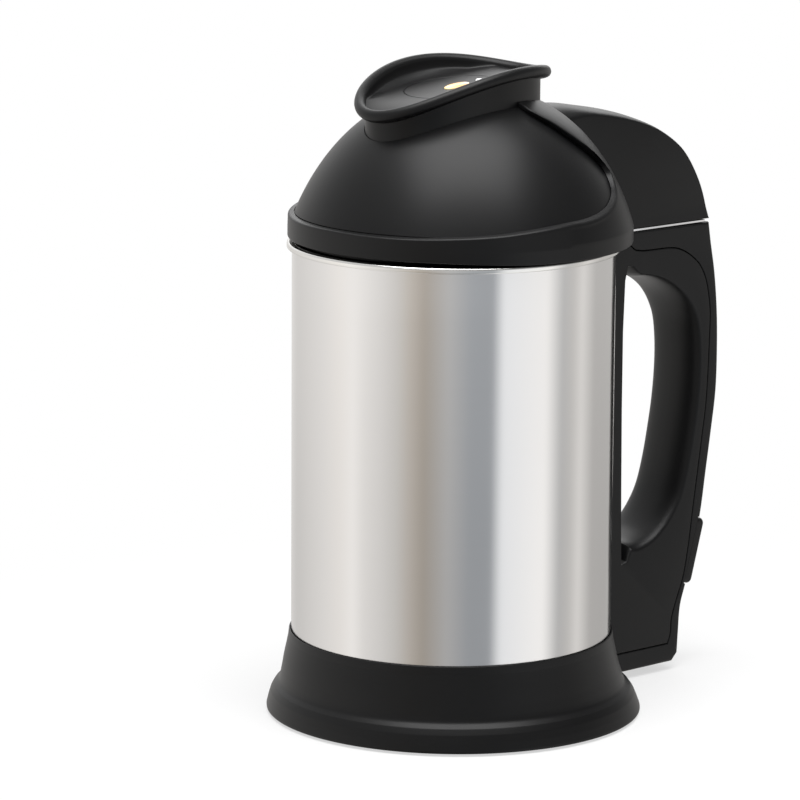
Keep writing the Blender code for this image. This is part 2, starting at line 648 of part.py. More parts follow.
def build_jug_walls(jug, finishes):
    """Steel outer wall, and the inner vessel with a rolled rim that hooks over it."""
    shell = turned("outer_shell", [
        (BODY_RADIUS, SHELL_TOP), (BODY_RADIUS, SHELL_FOOT), (SHELL_BORE, SHELL_FOOT),
        (SHELL_BORE, SHELL_TOP)],
        jug, finishes["satin_steel"])

    floor = VESSEL_FLOOR
    corner_centre = (VESSEL_BORE - VESSEL_CORNER, floor + VESSEL_CORNER)
    flare_foot = RIM_TOP - RIM_HEIGHT
    crown_radius = (RIM_RADIUS + VESSEL_RADIUS) / 2 + VESSEL_WALL
    outline = [(0, floor)] + quarter_arc(*corner_centre, VESSEL_CORNER, -90, 0)
    outline += [
        (VESSEL_BORE, flare_foot), (VESSEL_RADIUS + VESSEL_WALL / 2, RIM_TOP - RIM_CURL),
        (crown_radius - VESSEL_WALL, RIM_TOP - VESSEL_WALL / 2), (crown_radius + VESSEL_WALL / 2, RIM_TOP),
        (RIM_RADIUS - VESSEL_WALL / 2, RIM_TOP - VESSEL_WALL / 2), (RIM_RADIUS, RIM_TOP - 2 * VESSEL_WALL),
        (RIM_RADIUS - VESSEL_WALL / 2, RIM_TOP - RIM_CURL),
        (RIM_RADIUS - VESSEL_WALL, RIM_TOP - 2 * VESSEL_WALL),
        (crown_radius + VESSEL_WALL / 2, RIM_TOP - VESSEL_WALL),
        (VESSEL_RADIUS + 2 * VESSEL_WALL, RIM_TOP - VESSEL_WALL - SEAT_GAP),
        (VESSEL_RADIUS + VESSEL_WALL, RIM_TOP - RIM_CURL - VESSEL_WALL / 2), (VESSEL_RADIUS, flare_foot)]
    outline += quarter_arc(*corner_centre, VESSEL_CORNER + VESSEL_WALL, 0, -90) + [(0, floor - VESSEL_WALL)]
    turned("inner_vessel", outline, jug, finishes["bright_steel"])
    return shell


def build_heater(jug, finishes):
    """Plate, open ring element and snap thermostat under the vessel's floor."""
    rod("heater_plate", HEATER_PLATE_RADIUS, PLATE_FOOT, PLATE_TOP, jug, finishes["aluminium"], BODY_STEPS)

    tube_height = PLATE_FOOT - SEAT_GAP - ELEMENT_TUBE_RADIUS
    curve = bpy.data.curves.new("heater_element", "CURVE")
    curve.dimensions = "3D"
    curve.bevel_depth = ELEMENT_TUBE_RADIUS
    curve.bevel_resolution = 2
    curve.use_fill_caps = True
    points = []
    for i in range(ELEMENT_POINTS + 1):
        angle = ELEMENT_OPENING / 2 + (math.tau - ELEMENT_OPENING) * i / ELEMENT_POINTS
        points.append(Vector((ELEMENT_CIRCLE * math.cos(angle), ELEMENT_CIRCLE * math.sin(angle),
            tube_height)))
    first_end = points[0] + (points[0] - points[1]).normalized() * TERMINAL_DROP
    last_end = points[-1] + (points[-1] - points[-2]).normalized() * TERMINAL_DROP
    points = [first_end - Vector((0, 0, TERMINAL_DROP))] + points + [last_end - Vector((0, 0, TERMINAL_DROP))]
    spline = curve.splines.new("POLY")
    spline.points.add(len(points) - 1)
    for spline_point, point in zip(spline.points, points):
        spline_point.co = (*point, 1)
    curve.materials.append(finishes["bright_steel"])
    element = bpy.data.objects.new("heater_element", curve)
    element.parent = jug
    bpy.context.scene.collection.objects.link(element)

    disc_top = PLATE_FOOT - SEAT_GAP
    disc_foot = disc_top - THERMOSTAT_FLANGE_THICKNESS
    turned("thermostat", [
        (0, disc_top), (THERMOSTAT_FLANGE, disc_top), (THERMOSTAT_FLANGE, disc_foot),
        (THERMOSTAT_RADIUS, disc_foot),
        (THERMOSTAT_RADIUS, disc_top - THERMOSTAT_HEIGHT), (0, disc_top - THERMOSTAT_HEIGHT)],
        jug, finishes["dark_plastic"], SMALL_STEPS)


def handle_points(shares):
    return place_shares(shares, BODY_RADIUS, HANDLE_REACH, HANDLE_FOOT, HANDLE_TOP)


def spine_face(height):
    """Where the handle's back stands at a height, and how far it leans there."""
    for (upper_x, upper_z), (lower_x, lower_z) in zip(handle_points(SPINE_BACK_SHARES),
        handle_points(SPINE_BACK_SHARES[1:])):
        if lower_z <= height <= upper_z:
            share = (height - lower_z) / (upper_z - lower_z)
            return lower_x + (upper_x - lower_x) * share, math.atan2(upper_x - lower_x, upper_z - lower_z)


def finger_hole():
    """The finger hole at mid-width, with each place's share of the flare."""
    places = handle_points([(x, z) for x, z, share in FINGER_HOLE_SHARES])
    return [(x, z, row[2]) for (x, z), row in zip(places, FINGER_HOLE_SHARES)]


def build_handle(jug, shell, finishes):
    """Grip moulding with the finger hole, the spine that closes its back, trim and wall screws."""
    root_x = BODY_RADIUS - HANDLE_ROOT_INSET
    seam = handle_points(SEAM_SHARES)
    grip_outline = [(root_x, seam[0][1])] + seam + [(root_x, seam[-1][1])]
    grip = side_plate("handle_grip", grip_outline, finger_hole(), HANDLE_HALF_WIDTH, GRIP_EDGE_ROUND, jug,
                      finishes["black_plastic"])

    back = handle_points(SPINE_BACK_SHARES)
    spine_outline = [(root_x, HANDLE_TOP)] + back + [(root_x, HANDLE_FOOT)]
    spine = side_plate("handle_spine", spine_outline, None, HANDLE_HALF_WIDTH, SPINE_EDGE_ROUND, jug,
                       finishes["black_plastic"])
    seam_cutter = offset_outline(grip_outline, [SEAT_GAP] * len(grip_outline))
    seam_cutter = [(root_x - CUT_OVERRUN if x < BODY_RADIUS else x, z) for x, z in seam_cutter]
    combine(spine, side_plate("seam_cutter", seam_cutter, None, HANDLE_HALF_WIDTH + CUT_OVERRUN, 0, jug))

    wall = body_envelope("handle_wall_cutter", -CUT_OVERRUN, RIM_TOP + CUT_OVERRUN, jug)
    foot = skirt_envelope("handle_foot_cutter", jug)
    for moulding in (grip, spine):
        combine(moulding, wall)
        combine(moulding, foot)

    trim_low = HANDLE_TOP + SEAT_GAP
    trim_middle = (TRIM_START + TRIM_END) / 2
    trim = lofted("handle_trim", block_rings(TRIM_END - TRIM_START, 2 * TRIM_HALF_WIDTH, trim_low,
        trim_low + TRIM_THICKNESS),
                  jug, finishes["silver_trim"], (trim_middle, 0, 0))

    for i, height in enumerate(HANDLE_SCREW_HEIGHTS):
        head_seat = SHELL_BORE * math.cos(math.pi / BODY_STEPS) - SEAT_GAP
        bore = rod(f"handle_screw_bore_{i + 1}", HANDLE_SCREW_RADIUS + SCREW_BORE_GAP, 0,
                   HANDLE_SCREW_LENGTH + CUT_OVERRUN, jug, centre=(SHELL_BORE - CUT_OVERRUN / 2, 0, height))
        bore.rotation_euler.y = math.radians(90)
        combine(shell, bore)
        combine(grip, bore)
        screw = turned(f"handle_screw_{i + 1}", [
            (0, HANDLE_SCREW_LENGTH), (HANDLE_SCREW_RADIUS, HANDLE_SCREW_LENGTH), (HANDLE_SCREW_RADIUS, 0),
            (HANDLE_SCREW_HEAD_RADIUS, 0), (HANDLE_SCREW_HEAD_RADIUS, -HANDLE_SCREW_HEAD_HEIGHT / 2),
            (HANDLE_SCREW_RADIUS, -HANDLE_SCREW_HEAD_HEIGHT), (0, -HANDLE_SCREW_HEAD_HEIGHT)],
            jug, finishes["bright_steel"], SMALL_STEPS, (head_seat, 0, height))
        screw.rotation_euler.y = math.radians(90)
    return grip, spine, trim


def rounded_rectangle(length, width, corner, height):
    """A ring with cut corners, its long side along X."""
    x = length / 2
    y = width / 2
    cut = min(corner, x, y)
    points = ((x, y - cut), (x - cut, y), (cut - x, y), (-x, y - cut), (-x, cut - y), (cut - x, -y),
        (x - cut, -y), (x, cut - y))
    return [(px, py, height) for px, py in points]


def build_inlet(jug, grip, spine, finishes):
    """Mains inlet set in the handle's sloping back. In its own frame +Z points out of the handle."""
    face_x, tilt = spine_face(INLET_HEIGHT)
    inlet = make_empty("inlet_frame", jug, (face_x, 0, INLET_HEIGHT))
    inlet.rotation_euler.y = math.radians(90) + tilt
    flange_foot = -INLET_SUNK
    body = lofted("power_inlet", [
        rounded_rectangle(INLET_BODY_LENGTH, INLET_BODY_WIDTH, 0, -INLET_BODY_DEPTH),
        rounded_rectangle(INLET_BODY_LENGTH, INLET_BODY_WIDTH, 0, flange_foot),
        rounded_rectangle(INLET_FLANGE_LENGTH, INLET_FLANGE_WIDTH, INLET_CHAMFER, flange_foot),
        rounded_rectangle(INLET_FLANGE_LENGTH, INLET_FLANGE_WIDTH, INLET_CHAMFER,
        INLET_PROUD - INLET_CHAMFER),
        rounded_rectangle(INLET_FLANGE_LENGTH - 2 * INLET_CHAMFER, INLET_FLANGE_WIDTH - 2 * INLET_CHAMFER,
                          INLET_CHAMFER, INLET_PROUD)], inlet, finishes["black_plastic"])
    socket_floor = INLET_PROUD - INLET_SOCKET_DEPTH
    socket = lofted("inlet_socket_cutter", [
        rounded_rectangle(INLET_SOCKET_LENGTH, INLET_SOCKET_WIDTH, INLET_CORNER, socket_floor),
        rounded_rectangle(INLET_SOCKET_LENGTH, INLET_SOCKET_WIDTH, INLET_CORNER, INLET_PROUD + CUT_OVERRUN)],
        inlet)
    combine(body, socket)
    pocket = lofted("inlet_pocket_cutter", block_rings(
        INLET_BODY_LENGTH + 2 * SEAT_GAP, INLET_BODY_WIDTH + 2 * SEAT_GAP, -INLET_BODY_DEPTH - SEAT_GAP,
        INLET_PROUD + CUT_OVERRUN), inlet)
    combine(grip, pocket)
    combine(spine, pocket)
    seat = lofted("inlet_seat_cutter", block_rings(
        INLET_FLANGE_LENGTH + 2 * SEAT_GAP, 2 * (HANDLE_HALF_WIDTH + CUT_OVERRUN), flange_foot - SEAT_GAP,
        INLET_PROUD + CUT_OVERRUN), inlet)
    combine(spine, seat)
    pin_places = (("line", -INLET_PIN_PITCH, -INLET_EARTH_OFFSET / 2),
        ("neutral", INLET_PIN_PITCH, -INLET_EARTH_OFFSET / 2),
                  ("earth", 0, INLET_EARTH_OFFSET / 2))
    pin_foot = socket_floor + SEAT_GAP
    for name, x, y in pin_places:
        lofted(f"inlet_pin_{name}", block_rings(*INLET_PIN_SIZE, pin_foot, pin_foot + INLET_PIN_LENGTH),
            inlet,
               finishes["brass"], (x, y, 0))


def build_coupler(jug, head, grip, spine, trim, hood, finishes):
    """Socket in the handle's top, and the plug with three pins under the head's cap."""
    middle = (COUPLER_X, 0, 0)
    socket_foot = HANDLE_TOP - SOCKET_DEPTH
    socket = lofted("coupler_socket", block_rings(COUPLER_LENGTH, COUPLER_WIDTH, socket_foot, HANDLE_TOP),
        jug,
                    finishes["dark_plastic"], middle)
    pocket = lofted("socket_pocket_cutter", block_rings(
        COUPLER_LENGTH + 2 * SEAT_GAP, COUPLER_WIDTH + 2 * SEAT_GAP, socket_foot - SEAT_GAP,
        HANDLE_TOP + CUT_OVERRUN),
        jug, location=middle)
    combine(grip, pocket)
    combine(spine, pocket)
    combine(trim, pocket)
    plug_top = CAP_FOOT + PLUG_DEPTH
    plug = lofted("coupler_plug", block_rings(COUPLER_LENGTH, COUPLER_WIDTH, CAP_FOOT, plug_top), head,
                  finishes["dark_plastic"], middle)
    plug_pocket = lofted("plug_pocket_cutter", block_rings(
        COUPLER_LENGTH + 2 * SEAT_GAP, COUPLER_WIDTH + 2 * SEAT_GAP, CAP_FOOT - CUT_OVERRUN,
        plug_top + SEAT_GAP),
        head, location=middle)
    combine(hood, plug_pocket)
    for i in (-1, 0, 1):
        place = (COUPLER_X + i * COUPLER_PIN_PITCH, 0, 0)
        low = HANDLE_TOP - COUPLER_PIN_REACH
        high = CAP_FOOT + COUPLER_PIN_ROOT
        bore = rod(f"coupler_hole_{i + 2}", COUPLER_PIN_RADIUS + COUPLER_HOLE_GAP, low - SEAT_GAP,
            high + SEAT_GAP, head,
                   centre=place)
        combine(socket, bore)
        combine(plug, bore)
        rod(f"coupler_pin_{i + 2}", COUPLER_PIN_RADIUS, low, high, head, finishes["brass"], centre=place)


def shell_profile(width_axis, height_axis, crown, squareness, low, opening, steps):
    """Points on an upright superellipse from the height low up to where its radius is opening."""
    middle = crown - height_axis
    start = math.asin(((low - middle) / height_axis) ** (squareness / 2))
    end = math.acos((opening / width_axis) ** (squareness / 2))
    points = []
    for i in range(steps + 1):
        angle = start + (end - start) * i / steps
        radius = width_axis * max(0, math.cos(angle)) ** (2 / squareness)
        points.append((radius, middle + height_axis * math.sin(angle) ** (2 / squareness)))
    return points


def hood_radius(height):
    """Outer radius of the hood about its own axis."""
    rise = max(0, height - HOOD_CROWN + HOOD_HEIGHT_AXIS) / HOOD_HEIGHT_AXIS
    return min(HOOD_RADIUS, HOOD_WIDTH_AXIS * (1 - min(1,
        rise) ** HOOD_SQUARENESS_SHARE) ** (1 / HOOD_SQUARENESS_SHARE))


def smooth_rows(rows, steps):
    """Rows of numbers with steps - 1 more between each two, on a Catmull-Rom curve."""
    padded = [rows[0]] + list(rows) + [rows[-1]]
    filled = []
    for before, start, end, after in zip(padded, padded[1:], padded[2:], padded[3:]):
        for i in range(steps):
            t = i / steps
            row = []
            for a, b, c, d in zip(before, start, end, after):
                bend = t * t * (2 * a - 5 * b + 4 * c - d) + t * t * t * (3 * b - a - 3 * c + d)
                row.append(b + (t * (c - a) + bend) / 2)
            filled.append(tuple(row))
    return filled + [tuple(rows[-1])]


def window_loops():
    """Points inside the ledge, points just outside the hood and points far out, all round the window."""
    centre = Vector((WINDOW_CENTRE_X, 0, WINDOW_CENTRE_HEIGHT))
    inner = []
    outer = []
    far = []
    for azimuth, share, climb in smooth_rows(WINDOW_EDGE_SHARES, WINDOW_EDGE_STEPS):
        height = HEAD_LINE + (HOOD_CROWN - HEAD_LINE) * share
        radius = hood_radius(height)
        turn = math.radians(azimuth)
        slope = math.radians(climb)
        edge = Vector((HOOD_AXIS_X + radius * math.cos(turn), radius * math.sin(turn), height))
        inwards = Vector((-math.cos(turn) * math.cos(slope), -math.sin(turn) * math.cos(slope),
            math.sin(slope)))
        inner.append(edge + inwards * WINDOW_LEDGE_REACH)
        outer.append(edge - inwards * WINDOW_OUTSIDE_REACH)
        far.append(centre + (edge - centre) * WINDOW_REACH_SHARE)
    return [loop + [Vector((point.x, -point.y, point.z)) for point in loop[:0:-1]] for loop in (inner, outer,
        far)]


def window_cutter(head):
    """What opens the hood's front: its walls make the ledge that runs round the front dome."""
    centre = Vector((WINDOW_CENTRE_X, 0, WINDOW_CENTRE_HEIGHT))
    bm = bmesh.new()
    loops = [[bm.verts.new(point) for point in loop] for loop in window_loops()]
    for low, high in zip(loops, loops[1:]):
        for i, vert in enumerate(low):
            bm.faces.new((low[i - 1], vert, high[i], high[i - 1]))
    tips = (bm.verts.new(centre), bm.verts.new(centre + Vector((-WINDOW_CUTTER_REACH, 0,
        WINDOW_CUTTER_REACH / 2))))
    for loop, tip in zip((loops[0], loops[-1]), tips):
        for i, vert in enumerate(loop):
            bm.faces.new((loop[i - 1], vert, tip))
    return add_object("window_cutter", bm, head)


def build_hood(head, finishes):
    """Outer hood with its skirt band, the cap over the handle and the window for the dome."""
    outline = [(0, HOOD_CROWN)]
    outline += shell_profile(HOOD_WIDTH_AXIS, HOOD_HEIGHT_AXIS, HOOD_CROWN, HOOD_SQUARENESS_SHARE,
        HOOD_SKIRT_TOP,
                             DOME_OPENING / 2, HOOD_STEPS)[::-1]
    outline += [(HOOD_RADIUS, HEAD_LINE + HOOD_FOOT_CHAMFER), (HOOD_RADIUS - HOOD_FOOT_CHAMFER, HEAD_LINE),
        (0, HEAD_LINE)]
    hood = turned("top_hood", outline, head, finishes["black_plastic"], centre=(HOOD_AXIS_X, 0, 0))

    cap_outline = place_shares(CAP_TOP_SHARES, BODY_RADIUS, CAP_REACH, CAP_FOOT, CAP_CROWN)
    cap_outline = [(CAP_ROOT, CAP_FOOT), (CAP_REACH, CAP_FOOT)] + cap_outline + [(CAP_ROOT, CAP_CROWN)]
    cap = side_plate("cap_form", cap_outline, None, HANDLE_HALF_WIDTH, CAP_EDGE_ROUND, head)
    combine(hood, cap, "UNION")

    step_height = DOME_FOOT - SEAT_GAP
    bore = turned("hood_bore_cutter", [
        (0, CAP_FOOT - CUT_OVERRUN), (HOOD_RIM_BORE, CAP_FOOT - CUT_OVERRUN), (HOOD_RIM_BORE, HEAD_LINE),
        (HOOD_BORE, HEAD_LINE),
        (HOOD_BORE, step_height), (0, step_height)], head)
    combine(hood, bore)
    dome = shell_profile(DOME_WIDTH_AXIS + SEAT_GAP, DOME_HEIGHT_AXIS + SEAT_GAP, DOME_CROWN + SEAT_GAP,
        DOME_SQUARENESS_SHARE,
                         step_height, 0, DOME_STEPS)
    cavity = turned("hood_cavity_cutter", [(0, step_height)] + dome, head, centre=(HOOD_AXIS_X, 0, 0))
    combine(hood, cavity)
    combine(hood, window_cutter(head))
    return hood


def neck_cutter(head):
    """The oval opening in the top of the head that the panel's neck drops into."""
    size = (NECK_HALF_LENGTH + SEAT_GAP, NECK_HALF_WIDTH + SEAT_GAP)
    return lofted("neck_cutter", [
        oval_ring(*size, PANEL_NECK_FOOT - CUT_OVERRUN, BODY_STEPS, PANEL_X),
        oval_ring(*size, HOOD_CROWN + CUT_OVERRUN, BODY_STEPS, PANEL_X)], head)


def build_dome(head, neck, finishes):
    """Front dome: a thin shell that stands on the hood's ledge."""
    outer = shell_profile(DOME_WIDTH_AXIS, DOME_HEIGHT_AXIS, DOME_CROWN, DOME_SQUARENESS_SHARE, DOME_FOOT,
        DOME_OPENING,
                          DOME_STEPS)
    inner = shell_profile(DOME_WIDTH_AXIS - DOME_WALL, DOME_HEIGHT_AXIS - DOME_WALL, DOME_CROWN - DOME_WALL,
                          DOME_SQUARENESS_SHARE, DOME_FOOT, DOME_OPENING, DOME_STEPS)
    dome = turned("front_dome", outer + inner[::-1], head, finishes["black_plastic"],
        centre=(HOOD_AXIS_X, 0, 0))
    combine(dome, neck)


def rim_height(x):
    """Crown of the panel's rim: it climbs towards the handle and is high at both sides."""
    share = x / PANEL_HALF_LENGTH
    return PANEL_RIM_HEIGHT + x * math.tan(PANEL_TILT) - PANEL_SADDLE * (2 * share * share - 1)


def floor_height(x):
    return PANEL_FLOOR_HEIGHT + x * math.tan(PANEL_TILT)


def panel_ring(inset, height_of):
    """An oval, inset from the rim's outside, whose height follows the place along X."""
    ring = []
    for i in range(BODY_STEPS):
        angle = math.tau * i / BODY_STEPS
        x = PANEL_HALF_LENGTH * math.cos(angle)
        point_x = (PANEL_HALF_LENGTH - inset) * math.cos(angle)
        point_y = (PANEL_HALF_WIDTH - inset) * math.sin(angle)
        ring.append((PANEL_X + point_x, point_y, height_of(x, point_x)))
    return ring


def floor_ring(drop):
    ring = []
    for i in range(BODY_STEPS):
        angle = math.tau * i / BODY_STEPS
        x = PANEL_FLOOR_RADIUS * math.cos(angle)
        ring.append((PANEL_X + x, PANEL_FLOOR_RADIUS * math.sin(angle), floor_height(x) - drop))
    return ring


def build_panel(head, finishes):
    """Saddle-rimmed dish on an oval neck, with its inlay, button, light and circuit board."""
    thickness = PANEL_RIM_THICKNESS
    under = PANEL_OVERHANG + PANEL_WALL

    def under_dish(x, point_x):
        return min(floor_height(point_x), rim_height(x) - PANEL_DISH_DROP) - PANEL_WALL * 1.3

    rings = [
        floor_ring(PANEL_WALL), panel_ring(under, under_dish),
        panel_ring(under, lambda x, px: PANEL_NECK_FOOT),
        panel_ring(PANEL_OVERHANG, lambda x, px: PANEL_NECK_FOOT),
        panel_ring(PANEL_OVERHANG, lambda x, px: rim_height(x) - thickness * 1.45),
        panel_ring(PANEL_OVERHANG * 0.3, lambda x, px: rim_height(x) - thickness),
        panel_ring(0, lambda x, px: rim_height(x) - thickness * 0.5),
        panel_ring(PANEL_LIP * 0.16, lambda x, px: rim_height(x) - thickness * 0.12),
        panel_ring(PANEL_LIP * 0.45, lambda x, px: rim_height(x)),
        panel_ring(PANEL_LIP * 0.76, lambda x, px: rim_height(x) - thickness * 0.18),
        panel_ring(PANEL_LIP, lambda x, px: rim_height(x) - PANEL_DISH_DROP), floor_ring(0)]
    panel = lofted("control_panel", rings, head, finishes["black_plastic"])
    for side, name in ((-1, "right"), (1, "left")):
        notch = lofted(f"notch_cutter_{name}", block_rings(NOTCH_WIDTH, NOTCH_DEPTH, NOTCH_FOOT,
            NOTCH_FOOT + NOTCH_HEIGHT),
                       head, location=(NOTCH_X, side * NECK_HALF_WIDTH, 0))
        combine(panel, notch)

    deck = make_empty("panel_deck", head, (PANEL_X, 0, PANEL_FLOOR_HEIGHT))
    deck.rotation_euler.y = -PANEL_TILT
    inlay_foot = SEAT_GAP
    inlay_top = inlay_foot + INLAY_THICKNESS
    inlay = rod("panel_inlay", INLAY_RADIUS, inlay_foot, inlay_top, deck, finishes["inlay"], BODY_STEPS)
    button_hole = (BUTTON_LENGTH / 2 + BUTTON_GAP, BUTTON_WIDTH / 2 + BUTTON_GAP)
    cut_low = -PANEL_WALL - CUT_OVERRUN
    hole = lofted("button_hole_cutter", [
        oval_ring(*button_hole, cut_low, POD_STEPS, BUTTON_X),
        oval_ring(*button_hole, CUT_OVERRUN, POD_STEPS, BUTTON_X)], deck)
    light_hole = rod("light_hole_cutter", LIGHT_RADIUS + SEAT_GAP, cut_low, CUT_OVERRUN, deck,
        centre=(LIGHT_X, 0, 0))
    for piece in (panel, inlay):
        combine(piece, hole)
        combine(piece, light_hole)

    flange_top = -PANEL_WALL - SEAT_GAP
    half = (BUTTON_LENGTH / 2, BUTTON_WIDTH / 2)
    wide = (half[0] + BUTTON_FLANGE, half[1] + BUTTON_FLANGE)
    lofted("start_button", [
        oval_ring(*wide, flange_top - BUTTON_FLANGE, POD_STEPS), oval_ring(*wide, flange_top, POD_STEPS),
        oval_ring(*half, flange_top, POD_STEPS), oval_ring(*half, inlay_top + BUTTON_PROUD / 2, POD_STEPS),
        oval_ring(half[0] * 0.86, half[1] * 0.78, inlay_top + BUTTON_PROUD * 0.85, POD_STEPS),
        oval_ring(half[0] * 0.5, half[1] * 0.4, inlay_top + BUTTON_PROUD, POD_STEPS)],
        deck, finishes["orange_lens"], (BUTTON_X, 0, 0))
    board_top = -BOARD_DROP
    rod("indicator_light", LIGHT_RADIUS, board_top + SEAT_GAP, inlay_top + LIGHT_PROUD, deck,
        finishes["white_lens"],
        centre=(LIGHT_X, 0, 0))
    switch_top = flange_top - BUTTON_FLANGE - BUTTON_TRAVEL - SEAT_GAP
    lofted("button_switch", block_rings(SWITCH_SIZE, SWITCH_SIZE, board_top + SEAT_GAP, switch_top), deck,
           finishes["dark_plastic"], (BUTTON_X, 0, 0))
    lofted("circuit_board", block_rings(BOARD_LENGTH, BOARD_WIDTH, board_top - BOARD_THICKNESS, board_top),
        deck,
           finishes["board"])
    for sx, sy in ((1, 1), (-1, 1), (-1, -1), (1, -1)):
        place = (sx * BOARD_POST_SPREAD * 0.85, sy * BOARD_POST_SPREAD * 0.6, 0)
        post = rod(f"board_post_{sx + 2}{sy + 2}", BOARD_POST_RADIUS, board_top + SEAT_GAP, -PANEL_WALL / 2,
            deck, centre=place)
        combine(panel, post, "UNION")


def build_head_base(head, finishes):
    """Underside of the head: a dish that plugs into the jug's mouth, its seal and the two probes."""
    groove_top = SEAL_GROOVE_FOOT + SEAL_GROOVE_HEIGHT
    groove_bore = HEAD_BASE_RADIUS - SEAL_GROOVE_DEPTH
    wall_bore = groove_bore - HEAD_BASE_WALL
    flange_foot = HEAD_LINE + SEAT_GAP
    flange_top = flange_foot + HEAD_BASE_FLANGE_THICKNESS
    hole = POD_RADIUS + SEAT_GAP
    turned("head_base", [
        (HEAD_BASE_FLANGE, flange_top), (HEAD_BASE_FLANGE, flange_foot),
        (HEAD_BASE_RADIUS, flange_foot - HEAD_BASE_WALL),
        (HEAD_BASE_RADIUS, groove_top), (groove_bore, groove_top), (groove_bore, SEAL_GROOVE_FOOT),
        (HEAD_BASE_RADIUS, SEAL_GROOVE_FOOT), (HEAD_BASE_RADIUS - HEAD_BASE_WALL / 2,
        HEAD_BASE_FLOOR + HEAD_BASE_WALL / 2),
        (HEAD_BASE_RADIUS - HEAD_BASE_WALL, HEAD_BASE_FLOOR), (hole, HEAD_BASE_FLOOR), (hole, HEAD_FLOOR_TOP),
        (wall_bore, HEAD_FLOOR_TOP), (wall_bore, flange_top - HEAD_BASE_WALL),
        (HEAD_BASE_RADIUS, flange_top)],
        head, finishes["black_plastic"])

    seal_foot = SEAL_GROOVE_FOOT + SEAT_GAP
    seal_top = groove_top - SEAT_GAP
    seal_rim = VESSEL_BORE - SEAT_GAP
    seal_bore = groove_bore + SEAT_GAP
    turned("lid_seal", [
        (seal_bore, seal_top), (seal_rim - SEAL_LIP, seal_top), (seal_rim, (seal_top + seal_foot) / 2),
        (seal_rim - SEAL_LIP, seal_foot), (seal_bore, seal_foot)], head, finishes["silicone"])

    flange_top = HEAD_BASE_FLOOR - SEAT_GAP
    flange_low = flange_top - PROBE_FLANGE_THICKNESS
    probes = (("overflow_probe", math.pi - PROBE_SPREAD, OVERFLOW_PROBE_LENGTH),
              ("temperature_probe", math.pi + PROBE_SPREAD, TEMPERATURE_PROBE_LENGTH))
    for name, angle, length in probes:
        tip = flange_top - length
        turned(name, [
            (0, flange_top), (PROBE_FLANGE_RADIUS, flange_top), (PROBE_FLANGE_RADIUS, flange_low),
            (PROBE_RADIUS, flange_low),
            (PROBE_RADIUS, tip + PROBE_RADIUS / 2), (PROBE_RADIUS / 2, tip), (0, tip)],
            head, finishes["bright_steel"], SMALL_STEPS,
            (PROBE_CIRCLE * math.cos(angle), PROBE_CIRCLE * math.sin(angle), 0))


def lug_profile(growth):
    """Outline of a bayonet lug on the pod's wall, or of its groove when grown."""
    inner = POD_RADIUS - POD_WALL / 2
    outer = POD_RADIUS + LUG_PROUD + growth
    return [(inner, LUG_FOOT - growth), (outer, LUG_FOOT - growth), (outer, LUG_FOOT + LUG_HEIGHT + growth),
            (inner, LUG_FOOT + LUG_HEIGHT + growth)]


